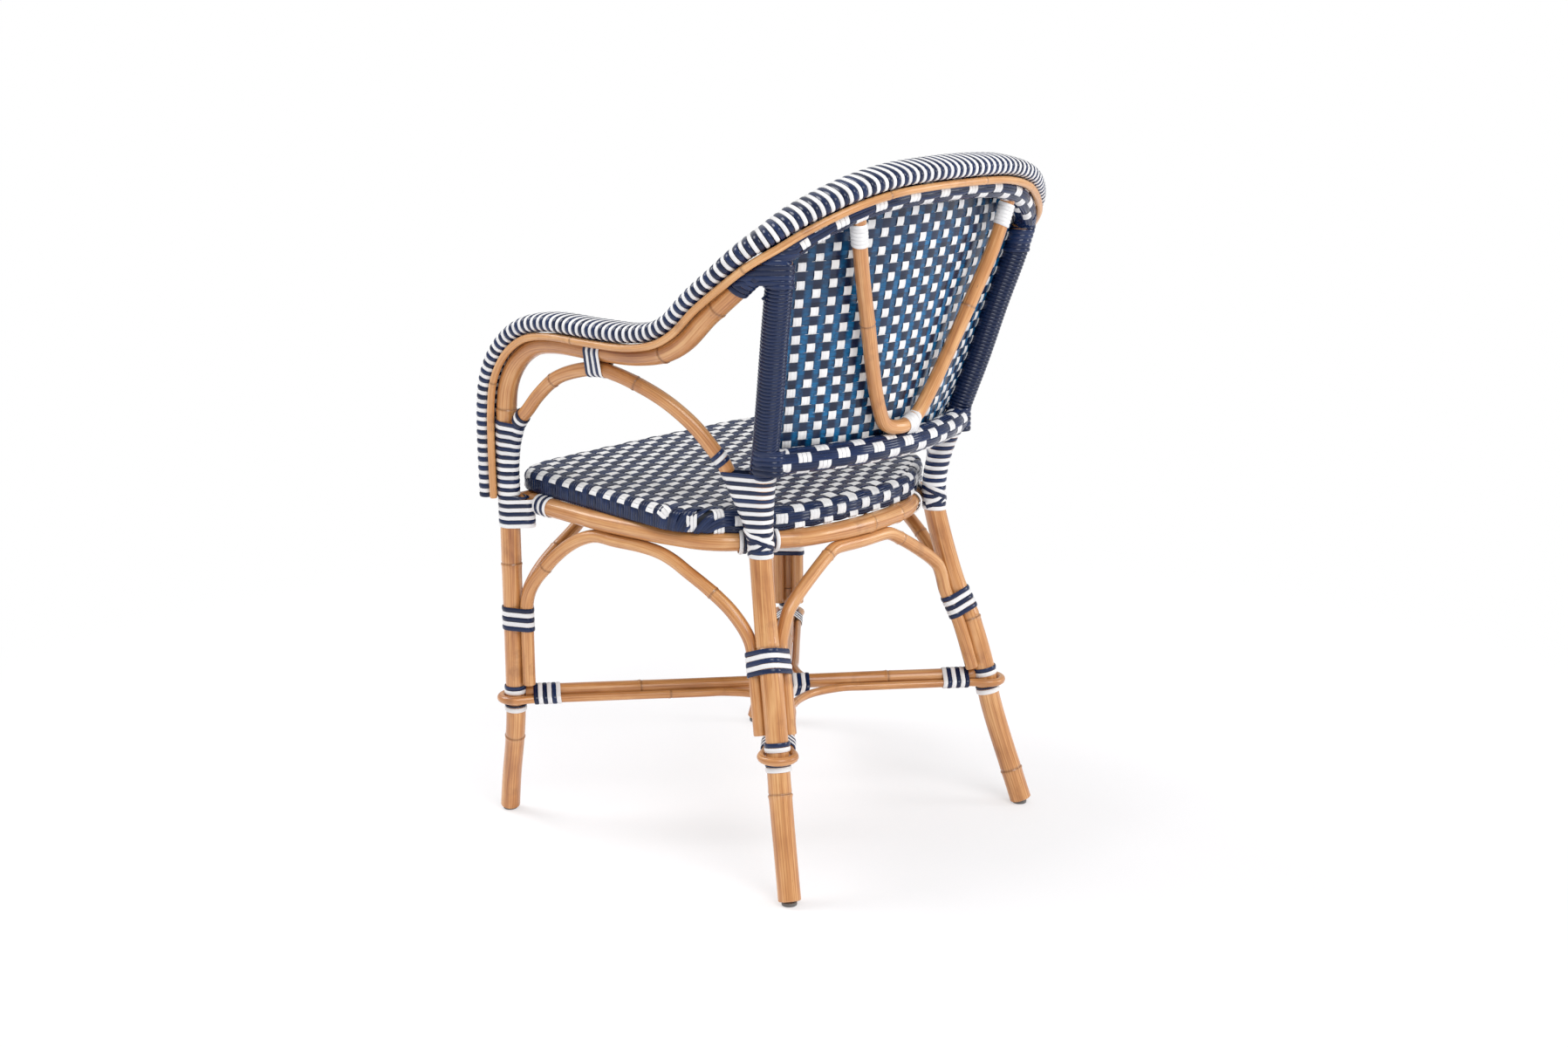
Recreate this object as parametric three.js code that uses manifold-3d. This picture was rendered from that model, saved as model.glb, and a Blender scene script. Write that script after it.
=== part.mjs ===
// A rattan bistro armchair: bent poles, woven seat and back, and wound bindings at every joint.
// Millimetres, +Z up. The origin is on the floor under the middle of the chair's outline.
// The chair faces -Y, and the sitter's left is +X.
import * as THREE from 'three';
import { mergeVertices } from 'three/addons/utils/BufferGeometryUtils.js';
import Module from 'manifold-3d';

const wasm = await Module();
wasm.setup();

// Clearances
const touch = 0.3;                 // between pieces that lie against each other
const windingTouch = 0.6;          // between a wound strip and its own next turn
const loopTouch = 1.2;             // inside a rod's loop round a leg
const braceTouch = 1;              // between a leg and the brace tied to it

// Radii of the poles
const armPoleRadius = 13;          // front leg and arm, one bent pole, and the hoop that carries it on
const backPoleRadius = 14.5;
const braceRadius = 8.5;
const armArchRadius = 9;
const seatRailRadius = 12;
const stretcherRadius = 9.5;
const stretcherRodRadius = 6;
const lowerRailRadius = 14;
const braceVRadius = 9;
const trimRadius = 5;
const crossBarRadius = 9;

// Strips, wound or woven
const stripThickness = 1;
const capHalfWidth = 23;           // the striped band along the arms and over the back
const capHalfThickness = 10.75;
const seatWeave = 3;
const backWeave = 3;

// Heights above the floor, of axes where nothing else is said
const glideHeight = 5;
const stretcherHeight = 180;
const seatRailHeight = 418;        // at the back, from where the seat and its rail rise forwards

// Rises above the stretchers
const legTieRise = 103;
const collarRise = 11;             // top of the collars
const braceFootRise = 14;          // lower ends of the arch braces

// Rises above the back of the seat rail
const capEndRise = 24;             // lower ends of the striped band
const backBindingRise = 96;        // tops of the bindings
const jointBindingRise = 122;
const lowerRailRise = 112;
const armRise = 236;
const hoopRise = 433;

// Places across the chair and along it, measured from the origin
const armHalfSpan = 267;
const frontFootInset = 24;         // of the feet inside the arms
const backFootInset = 33;
const waistInset = 98;             // of the back poles where they pass the seat
const frontReach = 230;            // front legs, forwards
const frontFootSplay = 47;         // of the front feet in front of the front legs
const waistReach = 120;
const backFootSplay = 106;         // of the back feet behind the waist
const hoopSetBack = 147;           // top of the back behind the waist
const armBendRadius = 95;
const backLean = THREE.MathUtils.degToRad(12);
const glideRadius = 9.5;

// Seat
const seatPitch = THREE.MathUtils.degToRad(2.6);
const seatThickness = 28.5;
const seatSideGap = 11;            // between the seat and the front legs' bindings
const seatNotchGap = 1.5;          // between the seat and the back poles' bindings
const seatFrontOverhang = 32;      // seat edge in front of the front legs' axes
const seatBackBow = 16;            // how far the seat's back edge bows past the back poles
const seatEdgeRounding = 9;
const seatHemWidth = 30;
const seatFrameWidth = 26;
const railBow = 19;                // the seat rail's back run behind the back poles' axes
const railGap = 2;                 // between the seat rail and the front legs

// Back
const lowerRailSetBack = 52;       // middle of the lower rail behind the back poles
const lowerRailBow = 44;
const panelInset = 10.5;           // in front of the surface through the posts, hoop and rail
const panelTuck = 8;               // how far the woven back runs to the axes of what holds it
const archStandOff = 6;            // between an arm arch's back foot and the back pole
const frontCrossHalfSpan = 100;    // level part of the front arch brace, and of the back one
const backCrossHalfSpan = 52;

// Wound strips
const armTieReach = 56;            // the tie between arm and arm arch, forwards
const backBindingDrop = 14;        // below the seat rail's axis
const legTieTurns = 5;
const legTiePitch = 6.8;
const armTieTurns = 6;
const armTiePitch = 4.6;
const poleTieTurns = 5;
const poleTiePitch = 6.6;
const poleTieStart = 12;           // from a leg's surface
const crossTieTurns = 3;
const vTieTurns = 5;
const vTiePitch = 4.6;
const vTieAside = 28;              // of the lower tie from the middle
const railTieTurns = 5;
const railTiePitch = 5;
const railTieReach = 12;           // from a front leg's surface to its tie on the seat rail
const frontJointTurns = 9;         // of two strips side by side
const backJointTurns = 10;
const bundleReach = 60;            // poles further off than this belong to no bundle

// Stretchers
const rodDrop = 6.5;               // thin rods' axes below the poles' axes
const rodTurnStart = 78;           // from the crossing, where a thin rod leaves its pole
const rodTurnRun = 34;
const braceVLift = THREE.MathUtils.degToRad(70);
const archTurn = THREE.MathUtils.degToRad(-45);
const trimLift = THREE.MathUtils.degToRad(25);

// Steps along each kind of line, and sides of each section
const poleSides = 8;
const thinSides = 6;
const sleeveSides = 10;
const windingSides = 8;
const capSides = 10;
const frontPostSteps = 23;
const hoopSteps = 7;               // from the joint to the middle of the hoop
const backPostSteps = 15;
const braceSteps = 20;
const archSteps = 16;
const railSteps = 30;
const rodSteps = 25;
const vSteps = 14;
const lowerRailSteps = 7;
const bundleRows = 12;             // of the room for a binding round two poles

const rattan = new THREE.MeshStandardMaterial({ color: 0xc99a66, roughness: 0.5, metalness: 0 });
const paleRattan = new THREE.MeshStandardMaterial({ color: 0xe0b580, roughness: 0.45, metalness: 0 });
const navyStrip = new THREE.MeshStandardMaterial({ color: 0x27375a, roughness: 0.35, metalness: 0 });
const whiteStrip = new THREE.MeshStandardMaterial({ color: 0xebe8e6, roughness: 0.4, metalness: 0 });
const darkPlastic = new THREE.MeshStandardMaterial({ color: 0x3a3a3c, roughness: 0.6, metalness: 0 });

const legTieHeight = stretcherHeight + legTieRise;
const lowerRailHeight = seatRailHeight + lowerRailRise;
const armHeight = seatRailHeight + armRise;
const hoopHeight = seatRailHeight + hoopRise;
const capEndHeight = seatRailHeight + capEndRise;
const jointBindingTop = seatRailHeight + jointBindingRise;
const backBindingTop = seatRailHeight + backBindingRise;
const frontFootHalfSpan = armHalfSpan - frontFootInset;
const frontFootReach = frontReach + frontFootSplay;
const waistHalfSpan = armHalfSpan - waistInset;
const backFootHalfSpan = armHalfSpan - backFootInset;
const backFootReach = waistReach + backFootSplay;
const hoopReach = waistReach + hoopSetBack;

const chair = new THREE.Group();
const sides = [['left', 1], ['right', -1]];
const vec = (x, y, z) => new THREE.Vector3(x, y, z);

function add(name, geometry, material) {
  const mesh = new THREE.Mesh(geometry, material);
  mesh.name = name;
  chair.add(mesh);
}

// Solids that are cut by their neighbours
function solidOf(geometry) {
  const bare = geometry.index ? geometry.toNonIndexed() : geometry.clone();
  bare.deleteAttribute('normal');
  bare.deleteAttribute('uv');
  const merged = mergeVertices(bare);
  return new wasm.Manifold(new wasm.Mesh({
    numProp: 3,
    vertProperties: new Float32Array(merged.attributes.position.array),
    triVerts: new Uint32Array(merged.index.array),
  }));
}

function indexed(positions, index) {
  const geometry = new THREE.BufferGeometry();
  geometry.setAttribute('position', new THREE.BufferAttribute(new Float32Array(positions), 3));
  geometry.setIndex(index);
  return geometry;
}

// The largest body that is left of a geometry after cutters are taken from it
function cut(geometry, ...cutters) {
  let solid = solidOf(geometry);
  for (const cutter of cutters) solid = solid.subtract(solidOf(cutter));
  const bodies = solid.decompose();
  bodies.sort((a, b) => b.volume() - a.volume());
  const mesh = bodies[0].getMesh();
  return indexed(mesh.vertProperties, Array.from(mesh.triVerts));
}

// A path that hands a swept outline its own points, tangents and outward side
class FramedPath extends THREE.Curve {
  constructor({ points, tangents, outwards }) {
    super();
    this.points = points;
    this.tangents = tangents;
    this.outwards = outwards;
  }

  getSpacedPoints() {
    return this.points;
  }

  computeFrenetFrames() {
    const frames = { tangents: this.tangents, normals: [], binormals: [] };
    let carried = vec(1, 1, 1);
    this.tangents.forEach((tangent, i) => {
      const outward = this.outwards ? this.outwards[i] : carried;
      carried = outward.clone().addScaledVector(tangent, -outward.dot(tangent)).normalize();
      frames.normals.push(carried);
      frames.binormals.push(tangent.clone().cross(carried));
    });
    return frames;
  }
}

function sweep(outline, line) {
  return new THREE.ExtrudeGeometry(new THREE.Shape(outline), {
    steps: line.points.length - 1,
    bevelEnabled: false,
    extrudePath: new FramedPath(line),
  });
}

function ring(radius, count) {
  const points = [];
  for (let k = 0; k < count; k += 1) {
    const angle = 2 * Math.PI * (k + 0.5) / count;
    points.push(new THREE.Vector2(radius * Math.cos(angle), radius * Math.sin(angle)));
  }
  return points;
}

// A round pole along a line. The same call with a larger radius makes its cutter.
function pole(line, radius, count = poleSides) {
  return sweep(ring(radius, count), line);
}

function smooth(points) {
  const curve = new THREE.CatmullRomCurve3(points, false, 'centripetal');
  curve.arcLengthDivisions = 50 * points.length;
  return curve;
}

// Points and tangents along part of a curve, closer together where it bends
function bent(curve, steps, from = 0, to = 1) {
  const evenShare = 0.35;
  const rows = 40 * steps;
  const tangents = [];
  for (let i = 0; i <= rows; i += 1) tangents.push(curve.getTangentAt(from + (to - from) * i / rows));
  const turns = tangents.slice(1).map((tangent, i) => tangent.angleTo(tangents[i]));
  const whole = turns.reduce((sum, turn) => sum + turn, 0) || 1;
  const shares = [0];
  for (let i = 0; i < rows; i += 1) {
    shares.push(shares[i] + evenShare / rows + (1 - evenShare) * turns[i] / whole);
  }
  const line = { points: [], tangents: [], shares: [] };
  for (let k = 0; k <= steps; k += 1) {
    const wanted = shares[rows] * k / steps;
    let row = 0;
    while (row < rows - 1 && shares[row + 1] < wanted) row += 1;
    const part = (wanted - shares[row]) / (shares[row + 1] - shares[row]);
    const share = from + (to - from) * Math.min((row + part) / rows, 1);
    line.points.push(curve.getPointAt(share));
    line.tangents.push(curve.getTangentAt(share));
    line.shares.push(share);
  }
  return line;
}

// The part of a line between two values of a coordinate that grows along it
function portion(line, coordinate, low, high = Infinity) {
  const kept = { points: [], tangents: [], shares: [] };
  const keep = (i, part) => {
    kept.points.push(line.points[i].clone().lerp(line.points[i + 1] ?? line.points[i], part));
    const after = line.tangents[i + 1] ?? line.tangents[i];
    kept.tangents.push(line.tangents[i].clone().lerp(after, part).normalize());
    if (line.shares) kept.shares.push(line.shares[i] + part * ((line.shares[i + 1] ?? 0) - line.shares[i]));
  };
  line.points.forEach((point, i) => {
    const here = point[coordinate];
    const next = line.points[i + 1]?.[coordinate] ?? here;
    if (here >= low && here <= high) keep(i, 0);
    else if (here < low && next > low) keep(i, (low - here) / (next - here));
    if (here < high && next > high && next > low) keep(i, (high - here) / (next - here));
  });
  return kept;
}

// A line whose ends run on, for the room that slanted end faces need
function extended({ points, tangents }, run) {
  const last = points.length - 1;
  return {
    points: [
      points[0].clone().addScaledVector(tangents[0], -run),
      ...points.slice(1, -1),
      points[last].clone().addScaledVector(tangents[last], run),
    ],
    tangents,
  };
}

function straight(from, to) {
  const tangent = to.clone().sub(from).normalize();
  return { points: [from, to], tangents: [tangent, tangent] };
}

const mirrorPoint = (p) => vec(-p.x, p.y, p.z);
const mirrored = ({ points, tangents }) => ({
  points: points.map(mirrorPoint),
  tangents: tangents.map(mirrorPoint),
});
const turnedPoint = ({ x, y, z }) => vec(x, -y, -z);
const bothTangents = (half) => [...half, ...half.slice(0, -1).reverse().map(turnedPoint)];
const onSide = (line, side) => (side > 0 ? line : mirrored(line));
const bothHalves = (half) => [...half, ...half.slice(0, -1).reverse().map(mirrorPoint)];

// Where along part of a curve a coordinate that only grows there reaches a value
function shareWhere(curve, coordinate, value, from = 0, to = 1) {
  let low = from;
  let high = to;
  for (let i = 0; i < 40; i += 1) {
    const middle = (low + high) / 2;
    if (curve.getPointAt(middle)[coordinate] < value) low = middle;
    else high = middle;
  }
  return (low + high) / 2;
}

// Front leg, arm and hoop are one ridge line. Rows: height share, flare share.
const footFlareShares = [[0, 1], [0.28, 0.72], [0.6, 0.27], [0.8, 0.07], [1, 0]];
// Rows: across share, reach share, rise share, and how far the outside has turned back.
const hoopShares = [
  [1, 0.04, 0.008, 0], [1, 0.23, 0.06, 0], [0.998, 0.35, 0.145, 0.02], [0.992, 0.48, 0.305, 0.06],
  [0.975, 0.615, 0.457, 0.17], [0.94, 0.71, 0.584, 0.36], [0.865, 0.795, 0.695, 0.56],
  [0.775, 0.853, 0.79, 0.69], [0.585, 0.94, 0.914, 0.81], [0.393, 0.981, 0.975, 0.89],
  [0.187, 0.998, 0.996, 0.95], [0, 1, 1, 1],
];
const jointRow = 6;
const bendRows = 4;

function hoopPoint([across, reach, rise]) {
  return vec(across * armHalfSpan, reach * hoopReach, armHeight + rise * (hoopHeight - armHeight));
}

function halfRidge() {
  const points = footFlareShares.map(([height, flare]) => vec(
    armHalfSpan + flare * (frontFootHalfSpan - armHalfSpan),
    -frontReach - flare * (frontFootReach - frontReach),
    height * stretcherHeight,
  ));
  for (const height of [legTieHeight, seatRailHeight]) points.push(vec(armHalfSpan, -frontReach, height));
  for (let i = 0; i <= bendRows; i += 1) {
    const angle = Math.PI / 2 * i / bendRows;
    points.push(vec(
      armHalfSpan,
      -frontReach + armBendRadius * (1 - Math.cos(angle)),
      armHeight - armBendRadius * (1 - Math.sin(angle)),
    ));
  }
  points.push(vec(armHalfSpan, -armTieReach, armHeight));
  return points;
}

const plainPart = halfRidge();
const ridge = smooth(bothHalves([...plainPart, ...hoopShares.map(hoopPoint)]));
const outsideHalf = [...plainPart.map(() => 0), ...hoopShares.map((row) => row[3])].map((turn) => {
  const angle = turn * Math.PI / 2;
  const lean = backLean * turn;
  return vec(Math.cos(angle), Math.sin(angle) * Math.cos(lean), -Math.sin(angle) * Math.sin(lean));
});
const ridgeOutside = smooth(bothHalves(outsideHalf));
const ridgeMiddle = 0.5;
const onRidge = (coordinate, value) => shareWhere(ridge, coordinate, value, 0, ridgeMiddle);
const joint = hoopPoint(hoopShares[jointRow]);
const jointShare = onRidge('y', joint.y);
const splitShare = touch / 2 / ridge.getLength();
const legAt = (height) => ridge.getPointAt(onRidge('z', height));

const frontPost = bent(ridge, frontPostSteps, 0, jointShare - splitShare);
const hoopHalf = bent(ridge, hoopSteps, jointShare + splitShare, ridgeMiddle);
const frontPosts = { left: frontPost, right: mirrored(frontPost) };
const hoop = { points: bothHalves(hoopHalf.points), tangents: bothTangents(hoopHalf.tangents) };
const ridgeHalf = {
  points: [...frontPost.points.slice(0, -1), ...hoopHalf.points],
  tangents: [...frontPost.tangents.slice(0, -1), ...hoopHalf.tangents],
  shares: [...frontPost.shares.slice(0, -1), ...hoopHalf.shares],
};

// A line beside the ridge, moved out from it and up off it, whose outward side is the ridge's up
function besideRidge(half, out, up) {
  const points = [];
  const outwards = [];
  half.points.forEach((point, i) => {
    const tangent = half.tangents[i];
    const outward = ridgeOutside.getPoint(ridge.getUtoTmapping(half.shares[i]));
    outward.addScaledVector(tangent, -outward.dot(tangent)).normalize();
    const upward = outward.clone().cross(tangent);
    points.push(point.clone().addScaledVector(outward, out).addScaledVector(upward, up));
    outwards.push(upward);
  });
  return {
    points: bothHalves(points),
    tangents: bothTangents(half.tangents),
    outwards: bothHalves(outwards),
  };
}

// Back leg and back post are one pole, bent at the seat. Rows: height share, spread share.
const backLegShares = [[0, 1], [0.344, 0.645], [0.467, 0.56], [0.626, 0.395], [0.734, 0.235], [0.96, 0.02]];
const backPostShares = [
  [0, 0], [0.126, 0.03], [0.378, 0.32], [0.518, 0.487], [0.718, 0.7], [0.877, 0.885], [1, 1],
];

const backPoleCurve = smooth([
  ...backLegShares.map(([height, spread]) => vec(
    waistHalfSpan + spread * (backFootHalfSpan - waistHalfSpan),
    waistReach + spread * (backFootReach - waistReach),
    height * seatRailHeight,
  )),
  ...backPostShares.map(([height, spread]) => vec(
    waistHalfSpan + spread * (joint.x - waistHalfSpan),
    waistReach + spread * (joint.y - waistReach),
    seatRailHeight + height * (joint.z - seatRailHeight),
  )),
]);
const backPoleAt = (height) => backPoleCurve.getPointAt(shareWhere(backPoleCurve, 'z', height));
const backPost = bent(backPoleCurve, backPostSteps);
const backPosts = { left: backPost, right: mirrored(backPost) };

// Room that a wound or woven layer takes on a pole, out to whatever lies against it
const cornerScale = 1 / Math.cos(Math.PI / windingSides);
const woundRadius = (radius) => (radius + touch + stripThickness) * cornerScale + touch;

// Sections of a bundle of poles, for the strips round it
function frameAt(origin, along) {
  const guide = Math.abs(along.z) < 0.8 ? vec(0, 0, 1) : vec(1, 0, 0);
  const across = guide.addScaledVector(along, -guide.dot(along)).normalize();
  return { origin, along, across, up: along.clone().cross(across) };
}

// The ovals in which a plane cuts the poles of a bundle
function ovalsAt(frame, members) {
  const ovals = [];
  for (const { line, radius } of members) {
    for (let i = 1; i < line.points.length; i += 1) {
      const before = line.points[i - 1];
      const after = line.points[i];
      const a = before.clone().sub(frame.origin).dot(frame.along);
      const b = after.clone().sub(frame.origin).dot(frame.along);
      const offset = before.clone().lerp(after, a * b <= 0 && a !== b ? a / (a - b) : 0).sub(frame.origin);
      if (a * b <= 0 && a !== b && offset.length() < bundleReach) {
        const way = after.clone().sub(before).normalize();
        ovals.push({
          x: offset.dot(frame.across),
          y: offset.dot(frame.up),
          slant: new THREE.Vector2(way.dot(frame.across), way.dot(frame.up)).normalize(),
          long: radius / Math.abs(way.dot(frame.along)),
          short: radius,
        });
      }
    }
  }
  return ovals;
}

// The polygon of lines that touch ovals from outside, with a margin
function wrapOutline(ovals, margin, count) {
  const step = 2 * Math.PI / count;
  const reach = (angle) => margin + Math.max(...ovals.map((oval) => {
    const x = Math.cos(angle);
    const y = Math.sin(angle);
    const along = x * oval.slant.x + y * oval.slant.y;
    const across = y * oval.slant.x - x * oval.slant.y;
    return oval.x * x + oval.y * y + Math.hypot(oval.long * along, oval.short * across);
  }));
  const corners = [];
  for (let k = 0; k < count; k += 1) {
    const a = k * step;
    const b = a + step;
    corners.push({
      x: (reach(a) * Math.sin(b) - reach(b) * Math.sin(a)) / Math.sin(step),
      y: (reach(b) * Math.cos(a) - reach(a) * Math.cos(b)) / Math.sin(step),
      angle: a + step / 2,
    });
  }
  return corners;
}

function place(frame, x, y) {
  return frame.origin.clone().addScaledVector(frame.across, x).addScaledVector(frame.up, y);
}

function outlineRows(frames, members, margin, count = sleeveSides) {
  return frames.map((frame) => {
    const corners = wrapOutline(ovalsAt(frame, members), margin, count);
    return corners.map(({ x, y }) => place(frame, x, y));
  });
}

// A solid with a row of corners at each frame
function lofted(rows) {
  const count = rows[0].length;
  const last = rows.length - 1;
  const index = [];
  const at = (row, k) => row * count + (k % count);
  for (let k = 0; k < count; k += 1) {
    for (let row = 0; row < last; row += 1) {
      index.push(at(row, k), at(row, k + 1), at(row + 1, k + 1));
      index.push(at(row, k), at(row + 1, k + 1), at(row + 1, k));
    }
    if (k > 0 && k < count - 1) {
      index.push(at(0, 0), at(0, k + 1), at(0, k));
      index.push(at(last, 0), at(last, k), at(last, k + 1));
    }
  }
  return indexed(rows.flat().flatMap((point) => point.toArray()), index);
}

// A hollow sleeve round a bundle: the plain form of what is woven, or wound in very many turns
function sleeve(frames, members) {
  const inner = outlineRows(frames, members, touch);
  const outer = outlineRows(frames, members, touch + stripThickness);
  const rows = [...outer, ...inner.slice().reverse()];
  const count = sleeveSides;
  const index = [];
  const at = (row, k) => (row % rows.length) * count + (k % count);
  for (let k = 0; k < count; k += 1) {
    for (let row = 0; row < rows.length; row += 1) {
      index.push(at(row, k), at(row, k + 1), at(row + 1, k + 1));
      index.push(at(row, k), at(row + 1, k + 1), at(row + 1, k));
    }
  }
  return indexed(rows.flat().flatMap((point) => point.toArray()), index);
}

// The space that a sleeve or a winding needs, as a cutter
function roomOf(frames, members, clearance = touch, count = sleeveSides) {
  return lofted(outlineRows(frames, members, touch + stripThickness + clearance, count));
}

const framesOn = (line) => line.points.map((point, i) => frameAt(point, line.tangents[i]));

// A flat strip wound along a straight line round a bundle, in one unbroken run of turns
const windowShares = [-0.5, -0.25, 0, 0.25, 0.5];

function winding(name, centre, along, members, turns, pitch) {
  const base = frameAt(centre, along);
  const climb = pitch * (turns - 1);
  const count = turns * windingSides;
  const line = { points: [], tangents: [], outwards: [] };
  for (let i = 0; i <= count; i += 1) {
    const frame = { ...base, origin: centre.clone().addScaledVector(along, climb * (i / count - 0.5)) };
    const ovals = [];
    for (const share of windowShares) {
      const origin = frame.origin.clone().addScaledVector(along, share * pitch);
      ovals.push(...ovalsAt({ ...base, origin }, members));
    }
    const corner = wrapOutline(ovals, touch + stripThickness / 2, windingSides)[i % windingSides];
    line.points.push(place(frame, corner.x, corner.y));
    line.outwards.push(place(frame, Math.cos(corner.angle), Math.sin(corner.angle)).sub(frame.origin));
  }
  line.points.forEach((point, i) => {
    const before = line.points[Math.max(i - 1, 0)];
    const after = line.points[Math.min(i + 1, count)];
    line.tangents.push(after.clone().sub(before).normalize());
  });
  const strip = climb / turns - windingTouch;
  const nextTurn = line.points.slice(windingSides);
  const leastGap = Math.min(...nextTurn.map((point, i) => point.distanceTo(line.points[i]))) - strip;
  console.log(`${name}: ${turns} turns, least gap to itself ${leastGap.toFixed(2)} mm`);
  const section = [
    new THREE.Vector2(-stripThickness / 2, -strip / 2), new THREE.Vector2(stripThickness / 2, -strip / 2),
    new THREE.Vector2(stripThickness / 2, strip / 2), new THREE.Vector2(-stripThickness / 2, strip / 2),
  ];
  return sweep(section, line);
}

// Seat rail: a hoop from one front leg round the back to the other, held inside the back poles
const railHalfSpan = armHalfSpan - armPoleRadius - seatRailRadius - railGap;
const railReach = waistReach + railBow;
const crossBarShare = 0.2;
// Rows: across share, reach share
const railSideShares = [
  [1, -0.93], [1, -0.75], [0.996, -0.61], [0.992, -0.44], [0.975, -0.296], [0.95, -0.148], [0.908, 0.08],
  [0.854, 0.38], [0.783, 0.547],
];
const railBackShares = [[0.412, 0.914], [0.215, 0.978], [0, 1]];
const railHold = woundRadius(backPoleRadius) + seatRailRadius;
// Rows: the rail's places by a back pole, in shares of the hold
const railHoldShares = [[0.03, -1.09], [-0.65, -0.82], [-1.26, -0.37]];

// Height of the sloping plane through the seat rail's axis
function seatLevel(reach) {
  return seatRailHeight + Math.tan(seatPitch) * (railReach - reach);
}

const onSeatLevel = (x, y) => vec(x, y, seatLevel(y));
const railEndReach = frontReach - seatRailRadius - touch;
const waistPole = backPoleAt(seatRailHeight);
const seatRail = smooth(bothHalves([
  onSeatLevel(railHalfSpan, -railEndReach),
  ...railSideShares.map(([across, reach]) => onSeatLevel(
    across * railHalfSpan,
    reach * (reach < 0 ? frontReach : railReach),
  )),
  ...railHoldShares.map(([across, reach]) => onSeatLevel(
    waistPole.x + across * railHold,
    waistPole.y + reach * railHold,
  )),
  ...railBackShares.map(([across, reach]) => onSeatLevel(across * railHalfSpan, reach * railReach)),
]));
const seatRailLine = bent(seatRail, railSteps);
const frontRailLine = straight(
  onSeatLevel(armHalfSpan, -frontReach),
  onSeatLevel(-armHalfSpan, -frontReach),
);

// Arch braces under the seat, against the rails from below, with both feet tied to the legs
const braceDrop = seatRailRadius + braceRadius + touch;
const underRail = (x, y) => vec(x, y, seatLevel(y) - braceDrop);
const legTieHalf = legTieTurns * legTiePitch / 2;
const braceFeet = [stretcherHeight + braceFootRise, legTieHeight - legTieHalf, legTieHeight + legTieHalf];

// A point beside a pole at a height, on the side that looks at another point
function besidePole(poleAt, height, towards, distance) {
  const centre = poleAt(height);
  const way = vec(towards.x - centre.x, towards.y - centre.y, 0).normalize();
  return centre.addScaledVector(way, distance);
}

// Rows of a climb from a foot to the top: way share, height share
const sideFrontClimbShares = [
  [0.045, 0.19], [0.145, 0.36], [0.265, 0.496], [0.4, 0.645], [0.6, 0.82], [0.794, 0.936],
];
const sideBackClimbShares = [
  [0.05, 0.15], [0.118, 0.28], [0.194, 0.395], [0.288, 0.505], [0.406, 0.625], [0.554, 0.757],
  [0.702, 0.888], [0.828, 0.958],
];
const frontClimbShares = [[0.05, 0.155], [0.21, 0.38], [0.5, 0.62], [0.79, 0.86], [0.92, 0.97]];
const backClimbShares = [[0.03, 0.1], [0.13, 0.38], [0.4, 0.62], [0.68, 0.82], [0.9, 0.955]];
const sideTopShares = [[0.992, -0.435], [0.975, -0.3], [0.947, -0.14]];

function climb(foot, top, shares) {
  return shares.map(([way, height]) => vec(
    foot.x + way * (top.x - foot.x),
    foot.y + way * (top.y - foot.y),
    foot.z + height * (top.z - foot.z),
  ));
}

function sideBraceCurve() {
  const front = legAt(legTieHeight);
  const back = backPoleAt(legTieHeight);
  const frontHold = armPoleRadius + braceRadius + braceTouch;
  const backHold = backPoleRadius + braceRadius + braceTouch;
  const frontFeet = braceFeet.map((height) => besidePole(legAt, height, back, frontHold));
  const backFeet = braceFeet.map((height) => besidePole(backPoleAt, height, front, backHold));
  const top = sideTopShares.map(([across, reach]) => underRail(across * railHalfSpan, reach * frontReach));
  return smooth([
    ...frontFeet,
    ...climb(frontFeet[2], top[0], sideFrontClimbShares),
    ...top,
    ...climb(backFeet[2], top[top.length - 1], sideBackClimbShares).reverse(),
    ...backFeet.reverse(),
  ]);
}

function crossBraceCurve(poleAt, hold, top, shares) {
  const feet = braceFeet.map((height) => besidePole(poleAt, height, vec(0, poleAt(height).y, height), hold));
  const half = top.x / 2;
  const level = [vec(half, top.y, top.z), vec(0, top.y, top.z)];
  return smooth(bothHalves([...feet, ...climb(feet[2], top, shares), top, ...level]));
}

const sideBraceLine = bent(sideBraceCurve(), braceSteps);
const frontBraceLine = bent(crossBraceCurve(
  legAt,
  armPoleRadius + braceRadius + braceTouch,
  underRail(frontCrossHalfSpan, -frontReach),
  frontClimbShares,
), braceSteps);
const backBraceLine = bent(crossBraceCurve(
  backPoleAt,
  backPoleRadius + braceRadius + braceTouch,
  underRail(backCrossHalfSpan, railReach - touch),
  backClimbShares,
), braceSteps);

// Arch under each arm, from the front leg's binding over to the back pole's binding
const seatBottom = seatRailHeight + seatRailRadius + touch;
const seatTop = seatBottom + seatThickness;
const archFootHeight = seatTop + armArchRadius + touch;
const archHold = armPoleRadius + armArchRadius + touch;
const archTop = armHeight - archHold;
// Rows: way share, rise share
const archFrontShares = [[0, 0.25], [0.03, 0.4], [0.12, 0.56], [0.27, 0.72], [0.53, 0.89]];
// Rows: across share, way share, rise share
const archBackShares = [
  [0.02, 0.13, 0.985], [0.07, 0.25, 0.955], [0.2, 0.43, 0.88], [0.33, 0.565, 0.8], [0.46, 0.665, 0.713],
  [0.58, 0.752, 0.62], [0.68, 0.82, 0.527], [0.776, 0.88, 0.43], [0.863, 0.93, 0.345], [0.94, 0.97, 0.24],
];

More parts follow.
